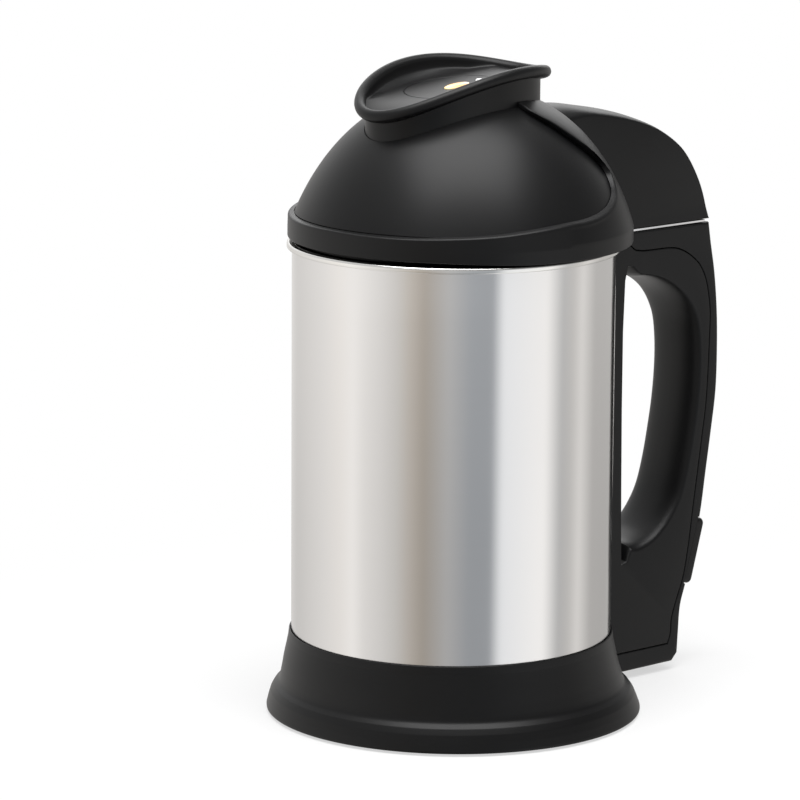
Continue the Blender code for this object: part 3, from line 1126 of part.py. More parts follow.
def build_pod(head, finishes):
    """Steel pod below the head, with bayonet lugs outside and the motor's fixed pieces inside."""
    bore = SHAFT_SEAL_RADIUS + SEAT_GAP
    pod = turned("motor_pod", [
        (POD_RADIUS + POD_FLANGE, POD_TOP), (POD_RADIUS + POD_FLANGE, POD_TOP - POD_WALL),
        (POD_RADIUS, POD_TOP - POD_WALL),
        (POD_RADIUS, POD_FOOT + POD_WALL), (POD_RADIUS - POD_WALL, POD_FOOT), (bore, POD_FOOT),
        (bore, POD_FOOT + POD_WALL),
        (POD_BORE, POD_FOOT + 2 * POD_WALL), (POD_BORE, POD_TOP)],
        head, finishes["bright_steel"], POD_STEPS)
    for i in range(LUG_COUNT):
        lug = turned_sector(f"lug_form_{i + 1}", lug_profile(0), math.tau * i / LUG_COUNT, LUG_HALF_ANGLE,
            LUG_STEPS, head)
        combine(pod, lug, "UNION")

    bridge_radius = POD_BORE - SEAT_GAP
    hub_bore = BEARING_RADIUS + SEAT_GAP
    hub_radius = hub_bore + BRIDGE_HUB_WALL
    shaft_bore = SHAFT_RADIUS + 2 * RUNNING_GAP
    plate_low = LOWER_BRIDGE_TOP - BRIDGE_THICKNESS
    turned("lower_bearing_bridge", [
        (bridge_radius, LOWER_BRIDGE_TOP), (bridge_radius, plate_low), (hub_radius, plate_low),
        (hub_radius, LOWER_BRIDGE_FOOT),
        (shaft_bore, LOWER_BRIDGE_FOOT), (shaft_bore, LOWER_BRIDGE_FOOT + BRIDGE_HUB_SHELF),
        (hub_bore, LOWER_BRIDGE_FOOT + BRIDGE_HUB_SHELF), (hub_bore, LOWER_BRIDGE_TOP)],
        head, finishes["aluminium"], POD_STEPS)
    rod_ring("motor_stator", STATOR_BORE, bridge_radius, STATOR_FOOT, STATOR_TOP, head,
        finishes["laminated_steel"])
    shelf_top = UPPER_BRIDGE_FOOT + BRIDGE_HUB_SHELF
    turned("upper_bearing_bridge", [
        (bridge_radius, UPPER_BRIDGE_FOOT + BRIDGE_THICKNESS), (bridge_radius, UPPER_BRIDGE_FOOT),
        (shaft_bore, UPPER_BRIDGE_FOOT),
        (shaft_bore, shelf_top), (hub_bore, shelf_top), (hub_bore, UPPER_BRIDGE_TOP),
        (hub_radius, UPPER_BRIDGE_TOP),
        (hub_radius, UPPER_BRIDGE_FOOT + BRIDGE_THICKNESS)], head, finishes["aluminium"], POD_STEPS)
    bearing_bore = SHAFT_RADIUS + SEAT_GAP
    for name, seat in (("lower_bearing", LOWER_BRIDGE_FOOT), ("upper_bearing", UPPER_BRIDGE_FOOT)):
        foot = seat + BRIDGE_HUB_SHELF + SEAT_GAP
        rod_ring(name, bearing_bore, BEARING_RADIUS, foot, foot + BEARING_HEIGHT, head,
            finishes["bright_steel"])
    seal_low = POD_FOOT - SEAT_GAP - SHAFT_SEAL_FLANGE
    turned("shaft_seal", [
        (SHAFT_SEAL_RADIUS + SHAFT_SEAL_FLANGE, POD_FOOT - SEAT_GAP),
        (SHAFT_SEAL_RADIUS + SHAFT_SEAL_FLANGE, seal_low),
        (bearing_bore, seal_low), (bearing_bore, seal_low + SHAFT_SEAL_HEIGHT),
        (SHAFT_SEAL_RADIUS, seal_low + SHAFT_SEAL_HEIGHT),
        (SHAFT_SEAL_RADIUS, POD_FOOT - SEAT_GAP)], head, finishes["rubber"], POD_STEPS)


def rod_ring(name, bore, radius, low, high, parent, finish, steps=POD_STEPS):
    return turned(name, [(radius, high), (radius, low), (bore, low), (bore, high)], parent, finish, steps)


def build_rotor(rotor, finishes):
    """What spins: shaft, rotor core, cooling fan, blade and its nut."""
    stud_foot = SHAFT_SHOULDER - STUD_LENGTH
    turned("drive_shaft", [
        (0, SHAFT_TOP), (SHAFT_RADIUS, SHAFT_TOP), (SHAFT_RADIUS, SHAFT_SHOULDER),
        (STUD_RADIUS, SHAFT_SHOULDER),
        (STUD_RADIUS, stud_foot), (0, stud_foot)], rotor, finishes["bright_steel"], POD_STEPS)
    sleeve_bore = SHAFT_RADIUS + SEAT_GAP
    rod_ring("rotor_core", sleeve_bore, STATOR_BORE - ROTOR_AIR_GAP, STATOR_FOOT + ROTOR_SHORTFALL,
        STATOR_TOP - ROTOR_SHORTFALL,
             rotor, finishes["copper"])

    fan_foot = UPPER_BRIDGE_TOP + BRIDGE_HUB_SHELF
    fan = turned("cooling_fan", [
        (FAN_RADIUS, fan_foot + FAN_DISC), (FAN_RADIUS, fan_foot), (sleeve_bore, fan_foot),
        (sleeve_bore, fan_foot + FAN_HEIGHT),
        (FAN_HUB_RADIUS, fan_foot + FAN_HEIGHT), (FAN_HUB_RADIUS, fan_foot + FAN_DISC)], rotor,
        finishes["dark_plastic"], POD_STEPS)
    blade_profile = [(FAN_HUB_RADIUS - FAN_DISC, fan_foot + FAN_DISC / 2),
        (FAN_RADIUS - FAN_DISC, fan_foot + FAN_DISC / 2),
                     (FAN_RADIUS - FAN_DISC, fan_foot + FAN_HEIGHT * 0.7),
                     (FAN_HUB_RADIUS - FAN_DISC, fan_foot + FAN_HEIGHT * 0.9)]
    for i in range(FAN_BLADE_COUNT):
        half_angle = FAN_DISC / FAN_RADIUS
        combine(fan, turned_sector(f"fan_blade_{i + 1}", blade_profile,
            math.tau * (i + 0.4) / FAN_BLADE_COUNT, half_angle, 1,
                                   rotor), "UNION")

    blade_top = SHAFT_SHOULDER - SEAT_GAP
    blade_foot = blade_top - BLADE_THICKNESS
    hub_bore = STUD_RADIUS + SEAT_GAP
    blade = rod_ring("chopping_blade", hub_bore, BLADE_HUB_RADIUS, blade_foot, blade_top, rotor,
        finishes["bright_steel"],
                     SMALL_STEPS)
    for i in range(BLADE_ARMS):
        lift = BLADE_RISE if i % 2 == 0 else -BLADE_FALL
        combine(blade, blade_arm(f"blade_arm_{i + 1}", math.tau * (i + 0.2) / BLADE_ARMS, lift, blade_foot,
            rotor), "UNION")
    nut_top = blade_foot - SEAT_GAP
    nut_foot = nut_top - NUT_HEIGHT
    nut = turned("blade_nut", [
        (0, nut_top), (NUT_RADIUS, nut_top), (NUT_RADIUS, nut_foot + NUT_CROWN), (NUT_RADIUS / 2, nut_foot),
        (0, nut_foot)],
        rotor, finishes["bright_steel"], 6)
    combine(nut, rod("nut_bore", hub_bore, stud_foot - SEAT_GAP, nut_top + CUT_OVERRUN, rotor))


def blade_arm(name, angle, lift, foot, rotor):
    """One arm: flat at the hub, then swept up or down, with its leading edge ground sharp."""
    along = Vector((math.cos(angle), math.sin(angle), 0))
    across = Vector((-math.sin(angle), math.cos(angle), 0))
    start = (STUD_RADIUS + BLADE_HUB_RADIUS) / 2
    rings = []
    for share, rise_share in ((0, 0), (0.22, 0), (0.62, 0.5), (1, 1)):
        radius = start + (BLADE_RADIUS - start) * share
        width = BLADE_ROOT_WIDTH + (BLADE_TIP_WIDTH - BLADE_ROOT_WIDTH) * share
        base = along * radius + Vector((0, 0, foot + lift * rise_share))
        up = Vector((0, 0, BLADE_THICKNESS))
        front = across * width / 2
        rings.append([base - front, base + front, base + front * 0.5 + up, base - front + up])
    return lofted(name, rings, rotor)


def build_filter(cup, finishes):
    """Filter cup: a collar with bayonet grooves, and the fine mesh cup tucked up into it."""
    mesh_bore = MESH_RADIUS - MESH_WALL
    shelf = COLLAR_FOOT + MESH_TUCK
    collar = turned("filter_collar", [
        (COLLAR_BORE, COLLAR_TOP), (COLLAR_RADIUS, COLLAR_TOP), (COLLAR_RADIUS, COLLAR_FOOT),
        (MESH_RADIUS + SEAT_GAP, COLLAR_FOOT),
        (MESH_RADIUS + SEAT_GAP, shelf), (COLLAR_BORE, shelf)], cup, finishes["black_plastic"], POD_STEPS)
    groove_half = LUG_HALF_ANGLE + TWIST_RANGE / 2 + LUG_PLAY
    slot_half = LUG_HALF_ANGLE + LUG_PLAY
    slot = lug_profile(SEAT_GAP)
    slot = slot[:2] + [(slot[2][0], COLLAR_TOP + CUT_OVERRUN), (slot[3][0], COLLAR_TOP + CUT_OVERRUN)]
    for i in range(LUG_COUNT):
        place = math.tau * i / LUG_COUNT
        combine(collar, turned_sector(f"lug_groove_{i + 1}", lug_profile(SEAT_GAP), place - TWIST_RANGE / 2,
            groove_half,
                                      2 * LUG_STEPS, cup))
        combine(collar, turned_sector(f"lug_entry_{i + 1}", slot, place - TWIST_RANGE, slot_half, LUG_STEPS,
            cup))
    corner = (mesh_bore - MESH_CORNER, MESH_FOOT + MESH_CORNER)
    outline = [(0, MESH_FOOT)] + quarter_arc(*corner, MESH_CORNER + MESH_WALL, -90, 0, 2)
    outline[0] = (0, MESH_FOOT - MESH_WALL)
    outline += [(MESH_RADIUS, shelf - SEAT_GAP), (mesh_bore, shelf - SEAT_GAP)]
    outline += quarter_arc(*corner, MESH_CORNER, 0, -90, 2) + [(0, MESH_FOOT)]
    turned("filter_mesh", outline, cup, finishes["bright_steel"], POD_STEPS)


def make_finishes():
    return {
        "black_plastic": make_finish("black_plastic", (0.022, 0.022, 0.024), 0.42),
        "dark_plastic": make_finish("dark_plastic", (0.03, 0.03, 0.03), 0.6),
        "satin_steel": make_finish("satin_steel", (0.72, 0.71, 0.69), 0.28, 1.0),
        "bright_steel": make_finish("bright_steel", (0.76, 0.76, 0.75), 0.2, 1.0),
        "silver_trim": make_finish("silver_trim", (0.85, 0.85, 0.86), 0.15, 1.0),
        "aluminium": make_finish("aluminium", (0.7, 0.7, 0.71), 0.4, 1.0),
        "laminated_steel": make_finish("laminated_steel", (0.3, 0.3, 0.31), 0.5, 1.0),
        "copper": make_finish("copper", (0.72, 0.38, 0.2), 0.35, 1.0),
        "brass": make_finish("brass", (0.78, 0.62, 0.3), 0.3, 1.0),
        "rubber": make_finish("rubber", (0.02, 0.02, 0.02), 0.85),
        "silicone": make_finish("silicone", (0.62, 0.6, 0.56), 0.6),
        "inlay": make_finish("inlay", (0.03, 0.03, 0.032), 0.3),
        "orange_lens": make_finish("orange_lens", (0.9, 0.36, 0.1), 0.25),
        "white_lens": make_finish("white_lens", (0.9, 0.9, 0.9), 0.3),
        "board": make_finish("board", (0.02, 0.16, 0.06), 0.5),
    }


def build_all():
    for piece in list(bpy.data.objects):
        bpy.data.objects.remove(piece, do_unlink=True)
    finishes = make_finishes()
    jug = make_empty("jug", None, (JUG_AXIS_X, 0, FOOT_PROUD))
    head = make_empty("head", jug)
    rotor = make_empty("rotor_axis", head)
    cup = make_empty("filter_axis", head)
    build_base(jug, finishes)
    shell = build_jug_walls(jug, finishes)
    build_heater(jug, finishes)
    grip, spine, trim = build_handle(jug, shell, finishes)
    build_inlet(jug, grip, spine, finishes)
    hood = build_hood(head, finishes)
    neck = neck_cutter(head)
    combine(hood, neck)
    build_coupler(jug, head, grip, spine, trim, hood, finishes)
    build_dome(head, neck, finishes)
    build_panel(head, finishes)
    build_head_base(head, finishes)
    build_pod(head, finishes)
    build_rotor(rotor, finishes)
    build_filter(cup, finishes)
    bpy.context.view_layer.update()


build_all()
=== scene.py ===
"""The looks of a nut milk maker: a steel jug on a flared black base, with a loop handle, and a black
motor head with a saddle-rimmed control panel. Sizes are in metres about the jug's axis, and tables
inside milli() are in millimetres or in thousandths of a size.
"""
import json
from math import copysign, cos, degrees, hypot, pi, radians, sin, tan, tau

import bmesh
import bpy
from mathutils import Matrix, Vector

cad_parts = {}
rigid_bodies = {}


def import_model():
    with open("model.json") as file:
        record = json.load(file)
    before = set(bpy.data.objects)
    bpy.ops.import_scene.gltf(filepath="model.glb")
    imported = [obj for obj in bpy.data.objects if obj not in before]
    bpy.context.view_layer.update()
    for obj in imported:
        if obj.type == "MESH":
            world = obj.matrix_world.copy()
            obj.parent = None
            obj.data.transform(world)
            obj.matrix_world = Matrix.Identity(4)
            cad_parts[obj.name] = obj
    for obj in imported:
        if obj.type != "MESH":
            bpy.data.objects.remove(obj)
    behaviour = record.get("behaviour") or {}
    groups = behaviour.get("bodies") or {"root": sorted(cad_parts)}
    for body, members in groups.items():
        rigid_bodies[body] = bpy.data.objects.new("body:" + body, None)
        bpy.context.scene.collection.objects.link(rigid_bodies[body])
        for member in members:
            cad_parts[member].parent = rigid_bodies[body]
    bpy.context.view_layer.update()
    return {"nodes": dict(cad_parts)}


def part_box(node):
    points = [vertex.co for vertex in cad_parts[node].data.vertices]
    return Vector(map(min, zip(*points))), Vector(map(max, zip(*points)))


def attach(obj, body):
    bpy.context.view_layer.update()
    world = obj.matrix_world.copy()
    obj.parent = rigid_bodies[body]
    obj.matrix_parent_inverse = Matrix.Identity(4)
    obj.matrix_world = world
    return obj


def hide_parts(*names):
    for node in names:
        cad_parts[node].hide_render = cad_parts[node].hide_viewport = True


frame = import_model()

nodes = frame["nodes"]

# The stage: a pale floor under soft studio light. The studio has a white wall on the left and a
# tall softbox on the right, the camera's side stays dark, and one big softbox hangs overhead.
shell_low, shell_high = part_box("outer_shell")
jug_axis = Vector(((shell_low.x + shell_high.x) / 2, 0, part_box("base_skirt")[0].z))
stage_scene = bpy.context.scene
stage_scene.view_settings.view_transform = "Standard"

camera_turn = radians(42)
camera_tilt = radians(11.315)
camera_distance = 1.98298
back = Vector((-sin(camera_turn) * cos(camera_tilt), -cos(camera_turn) * cos(camera_tilt), sin(camera_tilt)))
camera_data = bpy.data.cameras.new("camera")
camera_data.sensor_width = 36
camera_data.lens = 208.28
camera_data.clip_end = 20
camera = bpy.data.objects.new("camera", camera_data)
stage_scene.collection.objects.link(camera)
aim = back.to_track_quat("Z", "Y").to_matrix().to_4x4()
swing = (Matrix.Rotation(radians(0.652), 4, "Y") @ Matrix.Rotation(radians(0.123), 4, "X")
    @ Matrix.Rotation(radians(0.498), 4, "Z"))
camera.matrix_world = Matrix.Translation(jug_axis + Vector((0, 0, 0.13)) + back * camera_distance) @ aim @ swing
stage_scene.camera = camera


class Socket:
    """What comes out of a shader node. Sums written with it add Math nodes."""

    def __init__(self, finish, output):
        self.finish = finish
        self.output = output

    def maths(self, operation, *values):
        return self.finish.node("Math", dict(enumerate(values)), operation=operation)

    def __add__(self, other):
        return self.maths("ADD", self, other)

    def __mul__(self, other):
        return self.maths("MULTIPLY", self, other)

    def __truediv__(self, other):
        return self.maths("DIVIDE", self, other)


class Finish:
    """A material in the making. Plain values go on the Principled shader's own sockets."""

    def __init__(self, name, slot=None, block=None, **values):
        self.slot = slot
        self.block = block or bpy.data.materials.new(name)
        self.block.use_nodes = True
        self.tree = self.block.node_tree
        self.shader = self.tree.nodes.get("Principled BSDF")
        for label, value in values.items():
            self.shader.inputs[label.replace("_", " ")].default_value = value

    def node(self, kind, sockets=None, output=0, stops=None, **settings):
        made = self.tree.nodes.new("ShaderNode" + kind)
        for key, value in settings.items():
            setattr(made, key, value)
        if stops:
            ramp = made.color_ramp
            while len(ramp.elements) < len(stops):
                ramp.elements.new(0.5)
            for element, (place, colour) in zip(ramp.elements, stops):
                element.position = place
                element.color = (*colour, 1) if isinstance(colour, tuple) else (colour, colour, colour, 1)
        for key, value in (sockets or {}).items():
            if isinstance(value, Socket):
                self.tree.links.new(value.output, made.inputs[key])
            else:
                made.inputs[key].default_value = value
        return Socket(self, made.outputs[output])

    def feed(self, **sockets):
        for label, value in sockets.items():
            self.tree.links.new(value.output, self.shader.inputs[label.replace("_", " ")])

    def grain(self, scale, detail, stretch=(1, 1, 1)):
        """Noise in the object's own space, stretched along the axes."""
        place = self.node("TexCoord", output=3)
        place = self.node("Mapping", {"Vector": place, "Scale": stretch})
        return self.node("TexNoise", {"Vector": place, "Scale": scale, "Detail": detail})

    def bump(self, height, distance, strength):
        return self.node("Bump", {"Height": height, "Distance": distance, "Strength": strength})

    def mix(self, amount, first, second):
        return self.node("Mix", {0: amount, 6: first, 7: second}, output=2, data_type="RGBA")

    def wear(self, scale, detail, swing, base):
        """Roughness that a grain lifts from base by as much as swing."""
        self.feed(Roughness=self.grain(scale, detail) * swing + base)

    def relief(self, scale, detail, distance, strength):
        self.feed(Normal=self.bump(self.grain(scale, detail), distance, strength))


world = bpy.data.worlds.new("studio")
stage_scene.world = world
studio = Finish("studio", block=world)
# Brightness of the studio's wall round the jug: degrees to the right of the camera's side, brightness
# towards the top and towards the floor, warmth
studio_wall = ((-180, 0.8, 0.7, 0.02), (-145, 0.76, 0.66, 0.02), (-105, 0.93, 0.84, 0.02), (-88, 1.03, 0.92, 0.03),
    (-76, 1.07, 1.02, 0.02), (-66, 1.02, 0.84, 0.02), (-52, 0.9, 0.74, 0.02), (-40, 0.76, 0.62, 0.03),
    (-30, 0.62, 0.48, 0.08), (-20, 0.47, 0.36, 0.1), (-3, 0.6, 0.47, 0.0), (13, 0.48, 0.37, -0.05),
    (28, 0.45, 0.37, -0.05), (36, 1.06, 0.98, -0.02), (70, 1.1, 1.12, 0.01), (84, 0.62, 0.53, 0.0),
    (94, 0.66, 0.61, 0.02), (104, 0.86, 0.82, 0.02), (120, 0.58, 0.5, 0.02), (150, 0.56, 0.46, 0.02),
    (180, 0.8, 0.7, 0.02))
# The same for the upper studio: a pale sheet behind the jug, a dark side on the right
studio_top = ((-180, 1.2), (-150, 1.00), (-120, 0.72), (-40, 0.6), (0, 0.48), (40, 0.26), (115, 0.2), (148, 0.3),
    (166, 1.1), (180, 1.2))
direction = studio.node("TexCoord", output=0)
turn_cos, turn_sin = cos(camera_turn), sin(camera_turn)
towards, sideways = (studio.node("VectorMath", {0: direction, 1: axis}, output=1, operation="DOT_PRODUCT")
    for axis in ((-turn_sin, -turn_cos, 0), (turn_cos, -turn_sin, 0)))
height = studio.node("SeparateXYZ", {0: direction}, output=2)
turn = sideways.maths("ARCTAN2", sideways, towards) / tau + 0.5
high, low = (studio.node("ValToRGB", {0: turn},
    stops=[(row[0] / 360 + 0.5, (row[part] * (1 + row[3]), row[part], row[part] * (1 - 1.2 * row[3])))
    for row in studio_wall]) for part in (1, 2))
top = studio.node("ValToRGB", {0: turn}, stops=[(angle / 360 + 0.5, level) for angle, level in studio_top])
rise = studio.node("MapRange", {0: height, 1: -0.24, 2: -0.175})
lift = studio.node("MapRange", {0: height, 1: -0.05, 2: 0.3}, interpolation_type="SMOOTHSTEP")
room = studio.mix(lift, studio.mix(rise, low, high), top)
ray = {name: studio.node("LightPath", output=index)
    for name, index in (("camera", 0), ("glossy", 3), ("transmission", 6))}
soft = studio.mix(ray["glossy"], (0.42, 0.42, 0.42, 1), room)
white = studio.mix(ray["camera"].maths("MAXIMUM", ray["camera"], ray["transmission"]), soft, (1, 1, 1, 1))
studio.tree.links.new(white.output, studio.tree.nodes["Background"].inputs["Color"])


def softbox(name, place, size, power, target=Vector((0, 0, 0.16))):
    lamp = bpy.data.lights.new(name, "AREA")
    lamp.shape = "RECTANGLE"
    lamp.size, lamp.size_y = size
    lamp.energy = power
    holder = bpy.data.objects.new(name, lamp)
    place = Vector(place)
    holder.matrix_world = Matrix.Translation(place) @ (place - target).to_track_quat("Z", "Y").to_matrix().to_4x4()
    holder.visible_camera = False
    stage_scene.collection.objects.link(holder)


softbox("overhead_softbox", (-0.15, -0.2, 1.22), (1.15, 0.9), 19.5)
softbox("rear_softbox", (0.8, 0.75, 0.78), (0.9, 0.6), 2.0)

floor_mesh = bmesh.new()
bmesh.ops.create_circle(floor_mesh, cap_ends=True, radius=6, segments=64)
floor_data = bpy.data.meshes.new("floor")
floor_mesh.to_mesh(floor_data)
floor = bpy.data.objects.new("floor", floor_data)
stage_scene.collection.objects.link(floor)
floor.visible_glossy = False
paper = Finish("white_paper", Base_Color=(0.86, 0.86, 0.86, 1), Roughness=0.9)
glow = paper.node("Emission", {"Color": (1, 1, 1, 1), "Strength": 1.0})
seen = paper.node("LightPath", output=0)
spot = paper.node("VectorMath", {0: paper.node("TexCoord", output=3)}, output=1, operation="LENGTH")
fade = paper.node("MapRange", {0: spot, 1: 0.09, 2: 0.34, 3: 0.6, 4: 1.0}, interpolation_type="SMOOTHSTEP")
blended = paper.node("MixShader", {0: seen * fade, 1: Socket(paper, paper.shader.outputs[0]), 2: glow})
paper.tree.links.new(blended.output, paper.tree.nodes["Material Output"].inputs["Surface"])
floor_data.materials.append(paper.block)

# Black plastic: the base, handle, hood, dome and panel are injection moulded in satin black, with
# a fine spark-eroded texture from the tool that makes broad soft highlights.
black = Finish("satin_black", "black_plastic", Base_Color=(0.004, 0.004, 0.004, 1), Roughness=0.4,
    Specular_IOR_Level=0.24)
cloud = black.grain(26, 3)
black.feed(Roughness=cloud * 0.06 + 0.36, Base_Color=black.mix(cloud, (0.0036, 0.0036, 0.0039, 1),
    (0.0048, 0.0048, 0.005, 1)))
black.relief(2600, 1, 0.00003, 0.35)


def crisp(piece, crease=32):
    """Smooth shading, sharp where the faces turn by more than the crease angle in degrees."""
    piece.data.shade_smooth()
    piece.data.set_sharp_from_angle(angle=radians(crease))
    return piece


def settle(name, bm, body=None, finish=None, stands_for=(), slot=None):
    """Turn a bmesh made about the jug's axis into a piece that rides on a body."""
    bmesh.ops.remove_doubles(bm, verts=bm.verts, dist=0.000004)
    bmesh.ops.recalc_face_normals(bm, faces=bm.faces)
    bmesh.ops.translate(bm, vec=jug_axis, verts=bm.verts)
    mesh = bpy.data.meshes.new(name)
    bm.to_mesh(mesh)
    bm.free()
    piece = crisp(bpy.data.objects.new(name, mesh))
    stage_scene.collection.objects.link(piece)
    if body:
        mesh.materials.append(finish.block)
        slot = slot or finish.slot
        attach(piece, body)
        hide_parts(*stands_for)
    return piece


def milli(*rows):
    """Rows of numbers that are given in thousandths: millimetres, or shares of a size."""
    return [tuple(value / 1000 for value in row) for row in rows]


def bent(start, corner, end, steps):
    return [start * (1 - t) ** 2 + corner * 2 * t * (1 - t) + end * t * t
        for t in (k / steps for k in range(steps + 1))]


def arc_corners(corners, steps=5):
    """A polyline of (x, z, radius) corners with each corner rounded by an arc."""
    points = []
    for i, (x, z, radius) in enumerate(corners):
        here = Vector((x, z))
        if not radius or i in (0, len(corners) - 1):
            points.append(here)
            continue
        before, after = (Vector(corners[k][:2]) - here for k in (i - 1, i + 1))
        half = before.angle(after) / 2
        reach = min(radius / tan(half), before.length * 0.49, after.length * 0.49)
        points += bent(here + before.normalized() * reach, here, here + after.normalized() * reach, steps)
    return points


def spun(profile, steps, centre=(0, 0, 0)):
    """Spin a profile of (radius, height) about an upright axis through centre."""
    bm = bmesh.new()
    verts = [bm.verts.new((point[0] + centre[0], centre[1], point[1] + centre[2])) for point in profile]
    edges = [bm.edges.new(pair) for pair in zip(verts, verts[1:])]
    if profile[0][0] > 0 or profile[-1][0] > 0:
        edges.append(bm.edges.new((verts[-1], verts[0])))
    bmesh.ops.spin(bm, geom=verts + edges, cent=centre, axis=(0, 0, 1), angle=tau, steps=steps, use_merge=True)
    return bm


# Base skirt: one moulding in satin black that flares from a thin lip round the steel to a wide foot,
# with a crease low down where the flare meets the upright band. It leans a little to the handle.
skirt_height = 0.0346
skirt_lip = 0.0703
skirt_flare = 0.08095 - skirt_lip
skirt_rows = milli((0, 900, 4), (90, 765, 4), (180, 640, 4), (270, 515, 4), (360, 405, 4), (430, 335, 4),
    (650, 277, 2), (800, 205, 3), (910, 110, 4), (1000, 20, 0.4))


def leaning(bm, lean=0.0018, top=0.022):
    for vert in bm.verts:
        vert.co.x += lean * max(0, 1 - vert.co.z / top)
    return bm


outer = [(skirt_lip + skirt_flare * share, skirt_height * level, bend) for share, level, bend in skirt_rows]
wall_in = [(r - 0.0024, z, 0.002) for r, z, bend in outer if z < 0.02]
skirt_profile = arc_corners(milli((69.3, 30, 0), (69.3, 34.6, 0.3), (69.9, 34.6, 0.6)) + outer
    + milli((80.95, -0.4, 0.5), (78.6, -0.4, 0.4)) + wall_in[::-1] + milli((66, 22, 0.4), (66, 25.4, 0.3),
    (69.3, 25.4, 0)))
settle("base_moulding", leaning(spun(skirt_profile, 200)), "jug", black, ["base_skirt"])

# Steel shell: a rolled and welded sleeve of stainless sheet with a fine horizontal polish, which
# draws what it reflects into upright bands. It stands on a ledge inside the base.
satin = Finish("satin_stainless", "satin_steel", Base_Color=(0.79, 0.78, 0.77, 1), Metallic=1.0, Roughness=0.17,
    Anisotropic=0.75, Anisotropic_Rotation=0.25)
lines = satin.grain(1.0, 3, (30, 30, 9000))
drift = satin.grain(14, 2)
satin.feed(Roughness=lines * 0.05 + drift * 0.05 + 0.125, Normal=satin.bump(lines, 0.0000015, 0.4),
    Base_Color=satin.mix(lines, (0.765, 0.755, 0.745, 1), (0.8, 0.79, 0.785, 1)))
sleeve_profile = arc_corners(milli((69, 180, 0), (69, 25.7, 0.2), (68.2, 25.7, 0.2), (68.2, 201.9, 0.2),
    (69, 201.9, 0.2), (69, 180, 0)))
settle("steel_sleeve", spun(sleeve_profile, 220), "jug", satin, ["outer_shell"])

# Inner vessel: deep drawn bright stainless, with a round corner at the floor and a rim rolled over
# the sleeve's top edge, which shows as a bright line under the head.
bright = Finish("bright_stainless", "bright_steel", Base_Color=(0.8, 0.79, 0.77, 1), Metallic=1.0, Roughness=0.16)
turning = bright.grain(1.0, 2, (60, 60, 7000))
bright.feed(Roughness=turning * 0.08 + 0.12, Normal=bright.bump(turning, 0.000002, 0.3))
vessel_profile = arc_corners(milli((0, 42, 0), (64, 42, 14), (64, 197, 3), (66.5, 201.2, 1), (68, 203.6, 1),
    (71.2, 203.6, 1.3), (71.2, 201, 0.9), (69.9, 201, 0.4), (69.9, 202.5, 0.6), (68, 202.5, 0.5), (67.2, 200.6, 0.6),
    (65, 196.5, 3), (65, 41, 15), (0, 41, 0)), 8)
settle("inner_jug", spun(vessel_profile, 200), "jug", bright, ["inner_vessel"])

# Handle: a grip moulding with the finger hole and a spine moulding that closes its back, split
# along a fine seam. Both are hollowed to the steel wall and screwed to it from inside.
handle_low = Vector((0.069, 0.0023))
handle_high = Vector((0.1458, 0.1998))
handle_half = 0.015
spine_rows = milli((911, 1000), (932, 952), (965, 887), (992, 795), (1000, 703), (994, 611), (962, 520), (926, 430),
    (885, 330), (830, 250), (775, 174), (736, 127), (722, 63), (715, 18), (671, 0))
seam_rows = milli((277, 970), (323, 958), (617, 952), (691, 944), (766, 928), (833, 906), (882, 874), (911, 833),
    (925, 794), (923, 741), (906, 595), (872, 500), (815, 354), (780, 261), (742, 192), (693, 145), (654, 102),
    (646, 67), (626, 45))
hole_rows = milli((249, 893, 200), (365, 894, 500), (488, 884, 600), (612, 862, 700), (701, 834, 800),
    (763, 798, 900), (798, 755, 1000), (811, 705, 1000), (809, 647, 1000), (792, 580, 1000), (763, 516, 1000),
    (728, 453, 1000), (680, 394, 1000), (607, 350, 1000), (501, 313, 1000), (397, 296, 1000), (310, 294, 800),
    (249, 301, 200))


def smooth_rows(rows, steps, ring=False):
    """Rows of numbers with more between them, on a centripetal Catmull-Rom curve through them."""
    rows = [Vector(row) for row in rows]
    padded = [rows[-1]] + rows + rows[:2] if ring else [rows[0] * 2 - rows[1]] + rows + [rows[-1] * 2 - rows[-2]]
    filled = []
    for a, b, c, d in zip(padded, padded[1:], padded[2:], padded[3:]):
        knots = [0.0]
        for p, q in ((a, b), (b, c), (c, d)):
            knots.append(knots[-1] + max((q - p).length, 1e-7) ** 0.5)
        for k in range(steps):
            t = knots[1] + (knots[2] - knots[1]) * k / steps
            blend = [a, b, c, d]
            for reach in (1, 2):
                blend = [blend[i].lerp(blend[i + 1], (t - knots[i]) / (knots[i + reach] - knots[i]))
                    for i in range(len(blend) - 1)]
            filled.append(blend[0].lerp(blend[1], k / steps))
    return filled if ring else filled + [rows[-1]]


def placed(low, high, row):
    """A row of shares, across and up, as a point between two corners."""
    return Vector((low.x + (high.x - low.x) * row[0], low.y + (high.y - low.y) * row[1]))


def grown(outline, distances):
    """Each point of a closed outline moved outwards by its distance, with mitred corners."""
    area = sum(a.x * b.y - b.x * a.y for a, b in zip(outline, outline[1:] + outline[:1]))
    side = 1 if area > 0 else -1
    moved = []
    for i, here in enumerate(outline):
        before = (here - outline[i - 1]).normalized()
        after = (outline[(i + 1) % len(outline)] - here).normalized()
        first, second = Vector((before.y, -before.x)) * side, Vector((after.y, -after.x)) * side
        mitre = (first + second).normalized()
        moved.append(here + mitre * distances[i] / max(mitre.dot(first), 0.5))
    return moved


def quarter(steps, last=1):
    """Angles over a quarter turn, without its end where last is 0."""
    return [pi / 2 * k / steps for k in range(steps + last)]


def quarter_levels(half_width, width_round, inset, steps):
    """(Place across, inset share) over rounded edges from one side of a plate to the other."""
    rise = [(half_width - width_round * (1 - cos(a)), inset * (1 - sin(a))) for a in quarter(steps)]
    return [(-y, share) for y, share in rise] + rise[::-1]


